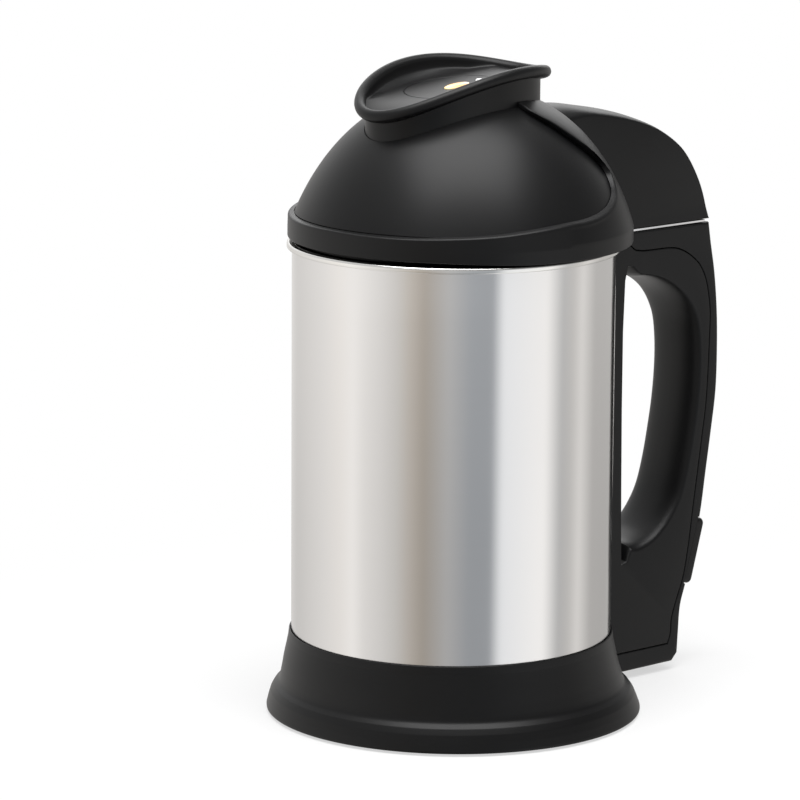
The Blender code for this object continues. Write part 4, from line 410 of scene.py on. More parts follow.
def pulled(bm, rings):
    """Walls pulled from ring to ring, by extruding the ring's edges. Returns the end rings' edges."""
    verts = [bm.verts.new(point) for point in rings[0]]
    edges = [bm.edges.new((verts[i - 1], vert)) for i, vert in enumerate(verts)]
    first = edges
    for ring in rings[1:]:
        grown_geom = bmesh.ops.extrude_edge_only(bm, edges=edges)["geom"]
        fresh = {item for item in grown_geom if isinstance(item, bmesh.types.BMVert)}
        verts = [next(edge.other_vert(vert) for edge in vert.link_edges if edge.other_vert(vert) in fresh)
            for vert in verts]
        for vert, point in zip(verts, ring):
            vert.co = point
        edges = [bm.edges.get((verts[i - 1], vert)) for i, vert in enumerate(verts)]
    return first, edges


def filled_in(bm, loops):
    for loop in loops:
        bmesh.ops.triangle_fill(bm, edges=loop, use_beauty=True, use_dissolve=False)
    return bm


def plate(outline, rounds, hole=None, half_width=handle_half, steps=5, spreads=None):
    """An upright plate as wide as the handle, with its own edge round at each outline point.

    The round reaches as far across as its spread. The hole's edges flare, by its rows' shares.
    """
    bm = bmesh.new()
    hole_flare, hole_spread = 0.0045, 0.0146
    rings = []
    for place, share in quarter_levels(1, 1, 1, steps):
        ring = grown(outline, [-r * share for r in rounds])
        rings.append([(point.x, copysign(half_width - r * (1 - abs(place)), place), point.y)
            for point, r in zip(ring, spreads or rounds)])
    ends = [list(loop) for loop in pulled(bm, rings)]
    if hole:
        line = [Vector(row[:2]) for row in hole]
        hole_rings = [[(point.x, place, point.y) for point in grown(line, [inset * row[2] for row in hole])]
            for place, inset in quarter_levels(half_width, hole_spread, hole_flare, 9)]
        for loop, more in zip(ends, pulled(bm, hole_rings)):
            loop += more
    return filled_in(bm, ends)


def trimmed(piece, *cutters, operation="DIFFERENCE"):
    """Cut a piece with guides, and keep the result as its mesh."""
    for guide in cutters:
        cut = piece.modifiers.new("cut", "BOOLEAN")
        cut.operation = operation
        cut.solver = "EXACT"
        cut.object = guide
    graph = bpy.context.evaluated_depsgraph_get()
    mesh = bpy.data.meshes.new_from_object(piece.evaluated_get(graph))
    old = piece.data
    piece.modifiers.clear()
    piece.data = mesh
    mesh.name = old.name
    bpy.data.meshes.remove(old)
    return piece


def joined(piece, *others):
    return trimmed(piece, *others, operation="UNION")


def merged(guides):
    for other in guides[1:]:
        joined(guides[0], other)
    return guides[0]


def guide(bm):
    return settle("guide", bm)


def peg(radius, high, low, steps, x=0.0, y=0.0):
    """An upright round guide, to bore with."""
    return guide(spun([(0, high), (radius, high), (radius, low), (0, low)], steps, (x, y, 0)))


def box(bm, centre, size):
    bmesh.ops.create_cube(bm, size=1, matrix=Matrix.Translation(centre) @ Matrix.Diagonal((*size, 1)))
    return bm


root_x = 0.066
seam = smooth_rows([placed(handle_low, handle_high, row) for row in seam_rows], 5)
grip_line = [Vector((root_x, seam[0].y))] + seam + [Vector((root_x, seam[-1].y))]
hole_line = [(*placed(handle_low, handle_high, row), row[2]) for row in smooth_rows(hole_rows, 4, ring=True)]
steel_guide = peg(0.0693, 0.25, -0.02, 220)
skirt_guide = guide(leaning(spun(arc_corners([(0, 0.0349, 0), (0.0706, 0.0349, 0)] + [(r + 0.0003, z, bend)
    for r, z, bend in outer] + [(0.0813, -0.01, 0), (0, -0.01, 0)]), 200)))
grip = settle("grip_moulding", plate(grip_line, [0.0005] * len(grip_line), hole_line), "jug", black, ["handle_grip"])
crisp(trimmed(grip, steel_guide, skirt_guide))

spine_back = smooth_rows([placed(handle_low, handle_high, row) for row in spine_rows[:-2]], 5)
corner = [placed(handle_low, handle_high, row) for row in spine_rows[-2:]]
seam_out = grown(grip_line, [0.0003] * len(grip_line))
spine_line = [Vector((root_x, handle_high.y))] + spine_back + corner + [Vector((root_x, handle_low.y))]
back_count = len(spine_line)
spine_line += seam_out[::-1]
spine_rounds = [0.0006] + [0.0017] * (back_count - 2) + [0.0006] + [0.0005] * len(seam_out)
spine = settle("spine_moulding", plate(spine_line, spine_rounds), "jug", black, ["handle_spine"])
crisp(trimmed(spine, steel_guide, skirt_guide))

# Trim: a thin bright strip of plated plastic on top of the handle, which shows in the joint
# between the handle and the head's cap. The coupler's socket comes up through it.
silver_trim = Finish("plated_trim", "silver_trim", Base_Color=(0.87, 0.87, 0.88, 1), Metallic=1.0, Roughness=0.14)
silver_trim.wear(160, 2, 0.08, 0.1)
trim_line = [Vector(point) for point in ((0.079, 0.2001), (0.136, 0.2001), (0.136, 0.2011), (0.079, 0.2011))]
trim = settle("top_trim", plate(trim_line, [0.0002] * 4, half_width=0.0146, steps=3), "jug", silver_trim,
    ["handle_trim"])
coupler_x = 0.104
socket_guide = guide(box(bmesh.new(), (coupler_x, 0, 0.196), (0.0246, 0.0146, 0.018)))
for piece in (trim, grip, spine):
    crisp(trimmed(piece, socket_guide))

# Head, hood: the outer moulding, an upright squashed dome with a window cut from its front. A ledge
# runs round the window, and a cap reaches back over the handle. One shell, with a bore for the rim.
hood_axis = 0.0036
hood_wall = 0.07365
hood_crown = 0.2699
head_line = 0.2039
ledge_top = 0.2155
window_rows = ((180, 0.17, 10), (165, 0.167, 10), (150, 0.168, 10), (135, 0.177, 11), (120, 0.19, 12),
    (107, 0.209, 16), (94, 0.225, 22), (83, 0.227, 30), (74, 0.244, 34), (66, 0.276, 34), (59, 0.318, 28),
    (53, 0.377, 15), (48.8, 0.455, 5), (49.2, 0.534, -4), (54.5, 0.603, -7), (61, 0.676, -8), (66, 0.738, -8),
    (70.8, 0.804, -8), (75.5, 0.857, -8), (77.5, 0.892, -8), (77, 0.924, -8), (84, 0.955, -8), (104, 0.972, -8))


def squircle(width, rise, crown, power, level):
    """Radius of an upright superellipse at a height."""
    share = max(0.0, (level - crown + rise) / rise)
    return width * max(0.0, 1 - share ** power) ** (1 / power)


def squircle_level(width, rise, crown, power, radius):
    return crown - rise + rise * max(0.0, 1 - (radius / width) ** power) ** (1 / power)


hood_form = (0.07975, 0.109, hood_crown, 2.3)
dome_form = (0.08225, 0.118, 0.2687, 2.15)
cavity_form = (0.08255, 0.1183, 0.269, 2.15)


def polar(radius, turn, level, axis=hood_axis):
    return Vector((axis + radius * cos(turn), radius * sin(turn), level))


def slide(start, turn, radius, form, count, power=1.0):
    """Points on a dome, above a straight line in plan from start to the circle of that radius."""
    end = polar(radius, turn, 0)
    rows = []
    for k in range(1, count + 1):
        t = 1 - (1 - k / count) ** power
        x, y = start.x + (end.x - start.x) * t, start.y + (end.y - start.y) * t
        level = squircle_level(*form, hypot(x - hood_axis, y))
        rows.append(Vector((x, y, level)))
    return rows


def eased(value):
    value = min(1.0, max(0.0, value))
    return value * value * (3 - 2 * value)


def front_relief(angle):
    """How much the hood's lower edge is raised at the front, where it clears the jug's rim."""
    return 0.0015 * eased((80 - abs(degrees(angle) - 180)) / 45)


rows = smooth_rows(window_rows, 6)
narrowest = min(range(len(rows)), key=lambda i: rows[i][0])
columns = []
cavity_radius = squircle(*cavity_form, ledge_top)
for i, (azimuth, share, climb) in enumerate(rows):
    level = head_line + (hood_crown - head_line) * share
    edge_turn = radians(azimuth)
    foot_turn = edge_turn
    if i > narrowest:
        foot_turn = radians(rows[narrowest][0]) * (len(rows) - 1 - i) / (len(rows) - 1 - narrowest)
    upright = min(1.0, max(0.0, (0.2215 - level) / 0.0055))
    edge = polar(min(hood_wall, squircle(*hood_form, level) + 0.0012 * upright), edge_turn, level)
    edge_round = 0.0011 if climb < -5 else 0.001 + 0.0007 * upright
    slope = radians(climb)
    inwards = Vector((-cos(edge_turn) * cos(slope), -sin(edge_turn) * cos(slope), sin(slope)))
    near, far = 0.0, 0.012
    for _ in range(30):
        middle = (near + far) / 2
        point = edge + inwards * middle
        if hypot(point.x - hood_axis, point.y) > squircle(*cavity_form, point.z):
            near = middle
        else:
            far = middle
    inner = edge + inwards * near
    if upright > 0.5:
        straight = [edge.lerp(polar(hood_wall, foot_turn, 0.2096), k / 17) for k in range(18)]
        start_out, outside = straight[2], straight[2:]
    else:
        start_out = next(p for p in slide(edge, foot_turn, hood_wall, hood_form, 300)
            if (p - edge).length > edge_round)
        outside = slide(start_out, foot_turn, hood_wall, hood_form, 16, 1.6)
    column = [inner, inner + (edge - inner) * 0.5]
    bend_start = edge + (inner - edge).normalized() * min(edge_round, (inner - edge).length * 0.45)
    column += bent(bend_start, edge, start_out, 5) + outside
    foot = head_line + front_relief(foot_turn)
    column += [polar(hood_wall, foot_turn, z) for z in (0.2094, 0.2078, foot + 0.0009)]
    column += bent(polar(hood_wall, foot_turn, foot + 0.0007), polar(hood_wall, foot_turn, foot),
        polar(hood_wall - 0.0007, foot_turn, foot), 3)
    column += [polar(hood_wall - 0.004, foot_turn, foot)]
    column += [polar(0.066, foot_turn, level, 0) for level in (head_line, ledge_top)]
    column += slide(inner, foot_turn, cavity_radius, cavity_form, 12, 1.6)[::-1]
    columns.append(column)
mirror = [[Vector((p.x, -p.y, p.z)) for p in column] for column in columns[-2:0:-1]]
ring_rows = list(zip(*(columns + mirror)))
hood_mesh = bmesh.new()
first_ring, last_ring = pulled(hood_mesh, ring_rows)
bmesh.ops.bridge_loops(hood_mesh, edges=first_ring + last_ring)
hood = settle("hood_moulding", hood_mesh, "head", black, ["top_hood"])

cap_low = Vector((0.069, 0.2014))
cap_high = Vector((0.1384, 0.258))
cap_rows = milli((1000, 20), (982, 90), (956, 198), (912, 324), (825, 495), (733, 619), (552, 768), (370, 862),
    (193, 922), (20, 962), (-151, 996), (-313, 1006))
cap_back = smooth_rows([placed(cap_low, cap_high, row) for row in cap_rows], 5)
cap_line = [Vector((0.045, cap_low.y)), Vector((cap_high.x, cap_low.y)), *cap_back,
    Vector((0.045, cap_back[-1].y))]
cap_places = [k / len(cap_back) for k in range(len(cap_back) + 1)]
cap_rounds = [0.0006, 0.0006] + [0.0014 + 0.0021 * eased((place - 0.4) / 0.35) + 0.0045 * eased((place - 0.8) / 0.2)
    for place in cap_places]
cap_spreads = [0.0006, 0.0006] + [0.0014 + 0.0026 * eased(place / 0.2) + 0.0104 * eased((place - 0.35) / 0.3)
    for place in cap_places]
cap = settle("cap_guide", plate(cap_line, cap_rounds, steps=9, spreads=cap_spreads))
cap_step = ledge_top + 0.0007
cap_bore = guide(spun([(0, 0.19), (0.073, 0.19), (0.073, head_line), (0.0667, head_line), (0.0667, cap_step),
    (0, cap_step)], 220))


def dome_wall(form, low, high, count, power=1.7):
    """(Radius, height) up a dome, closer together towards its top."""
    levels = [low + (high - low) * (1 - (1 - k / count) ** power) for k in range(count + 1)]
    return [(squircle(*form, z), z) for z in levels]


hollow = dome_wall((0.08335, 0.1191, 0.2698, 2.15), ledge_top, 0.2698, 40, 2)
cap_hollow = guide(spun([(0, ledge_top)] + hollow[:-1] + [(0, hollow[-1][1])], 200, (hood_axis, 0, 0)))
trimmed(cap, cap_bore, cap_hollow)
trimmed(cap, guide(box(bmesh.new(), (coupler_x, 0, 0.2035), (0.0246, 0.0146, 0.0084))))
joined(hood, cap)
panel_centre = -0.0012
neck_half = Vector((0.0425, 0.0289))
neck_gap = 0.0003


def circle(count):
    return [(cos(tau * k / count), sin(tau * k / count)) for k in range(count)]


def oval(half_x, half_y, level, x=0.0, count=72):
    return [Vector((x + half_x * c, half_y * s, level)) for c, s in circle(count)]


def stacked(rings, place=None):
    """A closed solid of rings, one above the other, turned into its place."""
    bm = bmesh.new()
    filled_in(bm, pulled(bm, rings))
    if place:
        bm.transform(place)
    return bm


def cutter(rings, place=None):
    return guide(stacked(rings, place))


neck_guide = cutter([oval(neck_half.x + neck_gap, neck_half.y + neck_gap, z, panel_centre, 160)
    for z in (0.244, 0.276)])
crisp(trimmed(hood, neck_guide))

# Head, front dome: a thin satin shell that stands on the hood's inner step and fills the window.
# The panel's neck drops through an oval hole in its top.
dome_profile = dome_wall(dome_form, 0.2158, 0.268, 44)
dome_profile += dome_wall((0.08225 - 0.0022, 0.1158, 0.2665, 2.15), 0.2158, 0.2655, 30)[::-1]
dome = settle("dome_moulding", spun(dome_profile, 200, (hood_axis, 0, 0)), "head", black, ["front_dome"])
crisp(trimmed(dome, neck_guide))

# Head, control panel: an oval dish on a neck, with a thick rolled rim that dips at the front and
# back and rises at both sides. One moulding, with a small notch low on each side of the neck.
panel_half = Vector((0.0471, 0.0335))
panel_tilt = radians(7.4)
deck_height = 0.2695


def rim_level(x):
    share = x / panel_half.x
    return 0.2738 + x * tan(panel_tilt) - 0.0047 * (2 * share * share - 1)


def deck_level(x):
    return deck_height + x * tan(panel_tilt)


def panel_row(inset, level_of):
    reach = panel_half.x - inset
    return [Vector((panel_centre + reach * c, (panel_half.y - inset) * s, level_of(panel_half.x * c, reach * c)))
        for c, s in circle(160)]


overhang = 0.0046
roll = smooth_rows(milli((4.6, -5.3), (2.4, -4.9), (0.7, -4), (0, -2.5), (0.3, -1), (1, -0.1), (1.9, 0.4), (2.9, 0.4),
    (3.9, -0.1), (4.7, -1), (5, -2.2)), 3)
deck_radius = 0.0225
dish_rows = []
lip = panel_row(roll[-1][0], lambda rim_x, x: rim_level(rim_x) + roll[-1][1])
deck = [Vector((panel_centre + deck_radius * c, deck_radius * s, deck_level(deck_radius * c)))
    for c, s in circle(160)]
for t in [(k / 22) ** 2.3 for k in range(1, 22)]:
    row = []
    for outer_point, inner_point in zip(lip, deck):
        flat = outer_point.lerp(inner_point, t)
        drop = outer_point.z - deck_level(outer_point.x - panel_centre)
        wall = min(0.003, max(0.0, drop))
        flat.z = deck_level(flat.x - panel_centre) + wall * (1 - t) ** 45 + (drop - wall) * (1 - t) ** 2.4
        row.append(flat)
    dish_rows.append(row)
under = overhang + 0.0025
neck_foot, rim_drop = 0.2485, 0.0064
panel_rings = [[p - Vector((0, 0, 0.0025)) for p in deck]]
panel_rings += [panel_row(inset, level_of) for inset, level_of in (
    (under, lambda rim_x, x: min(deck_level(x), rim_level(rim_x) - 0.0026) - 0.0033),
    (under, lambda rim_x, x: neck_foot), (overhang, lambda rim_x, x: neck_foot),
    (overhang, lambda rim_x, x: (neck_foot + rim_level(rim_x) - rim_drop) / 2),
    (overhang, lambda rim_x, x: rim_level(rim_x) - rim_drop))]
panel_rings += [panel_row(inset, lambda rim_x, x, drop=drop: rim_level(rim_x) + drop) for inset, drop in roll]
tilt_up = Vector((-sin(panel_tilt), 0, cos(panel_tilt)))


def on_deck(radius, proud):
    """A circle on the tilted deck, raised by proud."""
    return [Vector((panel_centre + radius * c * cos(panel_tilt), radius * s,
        deck_height + radius * c * sin(panel_tilt))) + tilt_up * proud for c, s in circle(160)]


panel_rings += dish_rows + [deck, on_deck(0.0213, 0), on_deck(0.0212, -0.0001), on_deck(0.0212, -0.0007)]
panel = settle("panel_moulding", stacked(panel_rings), "head", black, ["control_panel"])
notches = bmesh.new()
for side in (-1, 1):
    box(notches, (0.0118, side * neck_half.y, 0.2557), (0.0116, 0.014, 0.0056))
on_panel = Matrix.Translation((panel_centre, 0, deck_height)) @ Matrix.Rotation(-panel_tilt, 4, "Y")
button_x = 0.002
light_x = 0.0148
cut_levels = (-0.0035, 0.004)
button_guide = cutter([oval(0.0067, 0.0039, z, button_x) for z in cut_levels], on_panel)
light_guide = cutter([oval(0.0019, 0.0019, z, light_x, 40) for z in cut_levels], on_panel)
trimmed(panel, guide(notches), button_guide, light_guide)

# Panel inlay: a thin disc moulded in the same satin black, glued flush in a shallow recess of the
# dish, so that only a fine groove shows round it. The button and the light come up through it.
inlay = settle("flush_inlay", stacked([oval(0.02085, 0.02085, z, 0, 160) for z in (-0.0006, -0.00015)]
    + [oval(0.0207, 0.0207, 0, 0, 160)], on_panel), "head", black, ["panel_inlay"], "inlay")
crisp(trimmed(inlay, button_guide, light_guide))

# Start button: a lens moulded in clear amber resin, lit from below. A flange under the panel keeps
# it in, and it goes down by 1 mm on to its switch.
amber = Finish("amber_lens", "orange_lens", Base_Color=(0.8, 0.45, 0.15, 1), Roughness=0.28, Coat_Weight=0.3,
    Emission_Strength=0.3)
along = amber.node("SeparateXYZ", {0: amber.node("TexCoord", output=3)}, output=0)
button_origin = jug_axis.x + panel_centre
# The button's colour and glow run from pale at one end, through orange, to pale at the other. The pale ends are
# painted highlights.
glint = amber.node("MapRange", {0: along, 1: button_origin - 0.0064, 2: button_origin + 0.0086})
amber_and_painted_glints = amber.node("ValToRGB", {0: glint}, stops=[(0.0, (0.95, 0.8, 0.38)), (0.22, (0.95, 0.72, 0.34)),
    (0.45, (0.86, 0.44, 0.15)), (0.75, (0.84, 0.46, 0.22)), (1.0, (0.92, 0.8, 0.66))])
amber.feed(Base_Color=amber_and_painted_glints, Emission_Color=amber_and_painted_glints)
button_rings = [oval(*row, button_x) for row in milli((7.9, 5, -4), (7.9, 5, -2.9), (6.4, 3.6, -2.9))]
button_rings += [oval(0.0064 * cos(a), 0.0036 * cos(a), 0.0002 + 0.0008 * sin(a), button_x) for a in quarter(8, 0)]
settle("amber_button", stacked(button_rings, on_panel), "start_button", amber, ["start_button"])

# Indicator light: a round white light guide that stands on the circuit board and ends just above
# the inlay.
pearl = Finish("white_light_guide", "white_lens", Base_Color=(0.9, 0.9, 0.9, 1), Roughness=0.3,
    Emission_Color=(1, 1, 1, 1), Emission_Strength=0.35)
pearl.wear(900, 1, 0.1, 0.25)
guide_radius = 0.00155
light_rings = [oval(guide_radius, guide_radius, -0.0101, light_x, 36)]
light_rings += [oval(guide_radius * cos(a), guide_radius * cos(a), 0.0005 * sin(a), light_x, 36)
    for a in quarter(6, 0)]
settle("white_light", stacked(light_rings, on_panel), "head", pearl, ["indicator_light"])

# Power inlet: a moulded three-pin socket pushed into the sloping back of the handle. Its flange
# stands a little proud on a flat seat cut across the spine.
on_spine = Matrix.Translation((0.13267, 0, 0.0514)) @ Matrix.Rotation(radians(90 + 15.717), 4, "Y")


def slab(length, width, corner, level, x=0.0, y=0.0, steps=5):
    """A rectangle with round corners, as a ring of points."""
    ring = []
    for corner_index, (sx, sy) in enumerate(((1, 1), (-1, 1), (-1, -1), (1, -1))):
        for step in range(steps + 1):
            angle = pi / 2 * (corner_index + step / steps)
            ring.append(Vector((x + sx * (length / 2 - corner) + corner * cos(angle), y + sy * (width / 2 - corner)
                + corner * sin(angle), level)))
    return ring


def faded(length, width, corner, level, soft):
    """Rings that round the edge between a slab's wall and the face at that level."""
    rings = []
    for a in quarter(4):
        inset = soft * (1 - cos(a))
        rings.append(slab(length - 2 * inset, width - 2 * inset, corner - inset * 0.9, level - soft * (1 - sin(a))))
    return rings


inlet_rings = [slab(*row) for row in milli((26.6, 19.6, 2, -15), (27, 20, 2.2, -14.6), (27, 20, 2.2, -1.6),
    (30, 29.6, 2.6, -1.6))]
inlet_rings += faded(0.03, 0.0296, 0.0026, 0.003, 0.0012)
inlet_rings += [slab(*row) for row in milli((25.2, 18, 4.6, 3), (24.2, 17, 4.3, 2.7), (23.6, 16.4, 4, 1.8),
    (23.4, 16.2, 4, -11.6), (22.6, 15.4, 3.6, -12))]
settle("inlet_moulding", stacked(inlet_rings, on_spine), "jug", black, ["power_inlet"])
seat = cutter([slab(0.0306, 0.032, 0.0002, z) for z in (-0.0019, 0.01)], on_spine)
pocket = cutter([slab(0.0276, 0.0206, 0.0024, z) for z in (-0.0153, 0.01)], on_spine)
crisp(trimmed(grip, pocket))
crisp(trimmed(spine, seat, pocket))

# Inlet pins: three flat brass blades, pressed into the inlet's floor. They are stamped from strip,
# with their tips chamfered.
brass = Finish("brass", "brass", Base_Color=(0.78, 0.62, 0.3, 1), Roughness=0.3, Metallic=1.0)
brass.wear(300, 3, 0.2, 0.2)
brass.relief(900, 2, 0.00002, 0.3)
for name, x, y in (("line", -0.007, -0.0019), ("neutral", 0.007, -0.0019), ("earth", 0, 0.0019)):
    blade_rings = [slab(*row, x, y) for row in milli((2.4, 4.4, 0.4, -11.7), (2.4, 4.4, 0.4, -2), (2, 4, 0.4, -1.2),
        (1.2, 3, 0.3, -0.8))]
    settle(f"inlet_blade_{name}", stacked(blade_rings, on_spine), "jug", brass, [f"inlet_pin_{name}"])

# Coupler: a socket in the handle's top and a plug under the cap, moulded in matt black nylon, with
# three brass pins held in the plug. It feeds the motor and the sensors when the head is on.
nylon = Finish("matt_nylon", "dark_plastic", Base_Color=(0.02, 0.02, 0.02, 1), Roughness=0.6)
nylon.wear(90, 2, 0.15, 0.5)
nylon.relief(1500, 1, 0.00003, 0.4)
pin_pitch = 0.0072
pin_holes = merged([peg(0.0019, 0.212, 0.1905, 32, coupler_x + i * pin_pitch) for i in (0, -1, 1)])
edge, wall = milli((23.4, 13.4, 0.9), (24, 14, 1.2))
for name, low, high, body, node in (("socket_block", 0.1878, 0.1998, "jug", "coupler_socket"),
        ("plug_block", 0.2014, 0.2074, "head", "coupler_plug")):
    rings = [slab(*size, level, coupler_x) for size, level in ((edge, low), (wall, low + 0.0003),
        (wall, high - 0.0003), (edge, high))]
    crisp(trimmed(settle(name, stacked(rings), body, nylon, [node]), pin_holes))
pin_profile = milli((0, 191.3), (0.8, 191.4), (1.3, 191.9), (1.5, 192.8), (1.5, 205.2), (1.3, 205.4), (0, 205.4))
for i in (-1, 0, 1):
    settle(f"contact_pin_{i + 2}", spun(pin_profile, 28, (coupler_x + i * pin_pitch, 0, 0)), "head", brass,
        [f"coupler_pin_{i + 2}"])

# Bottom cover: a moulded plate under the base with a rim, a raised ring and vent slots, held by
# three screws. Four soft feet are glued to it.
cover_x = 0.0016
cover_profile = arc_corners(milli((0, 3.2, 0), (73.5, 3.2, 0.5), (73.5, 6, 0.3), (75.5, 6, 0.4), (76.7, 1.2, 0.5),
    (72.5, 1.2, 0.3), (71.5, 1.7, 0.3), (40, 1.7, 0.3), (39, 1.2, 0.3), (34, 1.2, 0.3), (33, 1.7, 0.3),
    (0, 1.7, 0)), 3)
cover = settle("base_plate", spun(cover_profile, 160, (cover_x, 0, 0)), "jug", black, ["bottom_cover"])
slot_levels = (-0.001, 0.005)
slots = merged([cutter([slab(0.0022, 0.015, 0.001, z, -0.02 + 0.004 * i) for z in slot_levels]) for i in range(11)])


def plan_centre(node):
    """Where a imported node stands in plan, from the jug's axis."""
    low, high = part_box(node)
    return (low.x + high.x) / 2 - jug_axis.x, (low.y + high.y) / 2


screw_places = [plan_centre(f"base_screw_{i + 1}") for i in range(3)]
trimmed(cover, slots)
for x, y in screw_places:
    trimmed(cover, peg(0.0018, 0.01, -0.01, 32, x, y))
crisp(cover)

# Rubber feet: four soft discs with a rounded rim and a shallow ring groove. They are moulded in
# black rubber and glued to the cover.
rubber = Finish("soft_rubber", "rubber", Base_Color=(0.02, 0.02, 0.02, 1), Roughness=0.8)
rubber.wear(200, 3, 0.15, 0.72)
rubber.relief(1800, 2, 0.00004, 0.5)
foot_profile = arc_corners(milli((0, 0.9, 0), (8, 0.9, 0.2), (8, -0.6, 0.5), (7.1, -1.5, 0.4), (5.6, -1.5, 0.2),
    (5.3, -1.2, 0.2), (4.7, -1.2, 0.2), (4.4, -1.5, 0.2), (0, -1.5, 0)), 3)
for i in range(1, 5):
    settle(f"soft_foot_{i}", spun(foot_profile, 48, (*plan_centre(f"rubber_foot_{i}"), 0)), "jug", rubber,
        [f"rubber_foot_{i}"])

# Base screws: pan-head steel screws with a cross recess. They go up through the cover into
# the base.
screw_profile = arc_corners(milli((0, 13.2, 0), (0.9, 13, 0.2), (1.5, 12, 0.2), (1.5, 0.9, 0.1), (2.9, 0.9, 0.1),
    (2.9, 0.5, 0.5), (1.7, 0, 0.5), (0, 0, 0)), 4)
for i, (x, y) in enumerate(screw_places, 1):
    screw = settle(f"cross_screw_{i}", spun(screw_profile, 36, (x, y, 0)), "jug", bright, [f"base_screw_{i}"])
    cross = merged([cutter([slab(*size, 0.0001, z, x, y) for z in (-0.002, 0.0006)])
        for size in milli((2.6, 0.7), (0.7, 2.6))])
    crisp(trimmed(screw, cross))

# Head base: the moulded underside of the head, a dish that drops into the jug's mouth. A groove
# round it holds the seal, and the steel pod hangs from its centre.
base_profile = arc_corners(milli((65.7, 206.4, 0.4), (65.7, 204.2, 0.5), (62.8, 201.6, 0.8), (62.8, 198, 0.3),
    (60.8, 198, 0.2), (60.8, 194.6, 0.2), (62.8, 194.6, 0.3), (62.8, 192, 1), (60.5, 189.5, 1.2), (47, 189.5, 0.4),
    (46.2, 190.1, 0.4), (41, 190.1, 0.3), (40.6, 189.5, 0.3), (34.3, 189.5, 0.3), (34.3, 191.8, 0.3),
    (58.5, 191.8, 0.6), (58.5, 204.1, 0.4), (62.8, 206.4, 0.4), (65.7, 206.4, 0)), 4)
settle("head_underside", spun(base_profile, 180), "head", black, ["head_base"])

# Lid seal: a ring moulded in translucent grey silicone with two soft lips that press on the jug's
# bore. It is stretched into the groove.
silicone = Finish("grey_silicone", "silicone", Base_Color=(0.62, 0.6, 0.56, 1), Roughness=0.55)
silicone.wear(120, 3, 0.16, 0.46)
silicone.relief(700, 2, 0.00004, 0.3)
seal_profile = arc_corners(milli((61.1, 197.7, 0.3), (62.8, 197.7, 0.4), (63.7, 197, 0.3), (63, 196.3, 0.4),
    (63.7, 195.6, 0.3), (62.8, 194.9, 0.4), (61.1, 194.9, 0.3), (61.1, 197.7, 0)), 3)
settle("double_lip_seal", spun(seal_profile, 180), "head", silicone, ["lid_seal"])

# Probes: turned stainless rods with a collar and a round tip, pressed up through the head's
# underside. The long one reads temperature, the short one feels foam before it boils over.
for node, name in (("overflow_probe", "foam_probe"), ("temperature_probe", "heat_probe")):
    foot, head = (corner.z - jug_axis.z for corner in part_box(node))
    shape = [(0.0025 * sin(a), foot + 0.0025 * (1 - cos(a))) for a in quarter(8)]
    shape += [(radius, head - down) for radius, down in milli((2.5, 3.2), (3, 2.6), (3, 1.6), (4.6, 1.5), (5, 1.1),
        (5, 0.2), (4.8, 0), (0, 0))]
    settle(name, spun(shape, 40, (*plan_centre(node), 0)), "head", bright, [node])

# Motor pod: a deep drawn stainless cup, polished, with three bayonet lugs pressed out of its wall
# for the filter. The motor sits inside it.
pod_profile = arc_corners(milli((40, 193.1, 0.3), (40, 192.1, 0.4), (34, 192.1, 1), (34, 122, 3), (9.1, 122, 0.3),
    (9.1, 123, 0.3), (32.5, 123.2, 2.2), (33, 130, 1), (33, 193.1, 0.4), (40, 193.1, 0)), 5)
pod = settle("steel_pod", spun(pod_profile, 144), "head", bright, ["motor_pod"])


def part_ring(outer_radius, inner_radius, angles, level):
    """A ring of points round part of an annulus."""
    return [Vector((radius * cos(a), radius * sin(a), level))
        for radius, turns in ((outer_radius, angles), (inner_radius, angles[::-1])) for a in turns]


lug_half = radians(7)
for i in range(3):
    sector = [tau * i / 3 + lug_half * k / 8 for k in range(-8, 9)]
    joined(pod, cutter([part_ring(out, 0.0335, sector, z) for z, out in milli((125.6, 34), (125.8, 35.7),
        (126.4, 36.1), (127.8, 36.1), (128.4, 35.7), (128.6, 34))]))
crisp(pod)

# Shaft seal: a moulded rubber ring pressed into the pod's floor, with a thin lip that runs on the
# shaft and keeps liquid out of the motor.
lip_profile = arc_corners(milli((10.4, 121.7, 0.2), (10.4, 120.3, 0.4), (9.4, 120.1, 0.4), (6.2, 120.1, 0.5),
    (4.3, 120.6, 0.3), (4.3, 125.7, 0.3), (8.6, 125.7, 0.3), (8.8, 121.7, 0), (10.4, 121.7, 0)), 3)
settle("lip_seal", spun(lip_profile, 72), "head", rubber, ["shaft_seal"])

# Drive shaft: ground stainless rod with a shoulder and a threaded stud for the blade, chamfered.
# It is turned in one piece and runs in the two bearings.
shaft_profile = milli((0, 212), (3.5, 212), (4, 211.5), (4, 74.4), (3.6, 74), (3, 74), (3, 73.1))
for k in range(15):
    shaft_profile += [(0.003, 0.0729 - 0.0005 * k), (0.0026, 0.07265 - 0.0005 * k)]
shaft_profile += [(0.0026, 0.065), (0.0022, 0.0645), (0, 0.0645)]
settle("ground_shaft", spun(shaft_profile, 56), "rotor", bright, ["drive_shaft"])

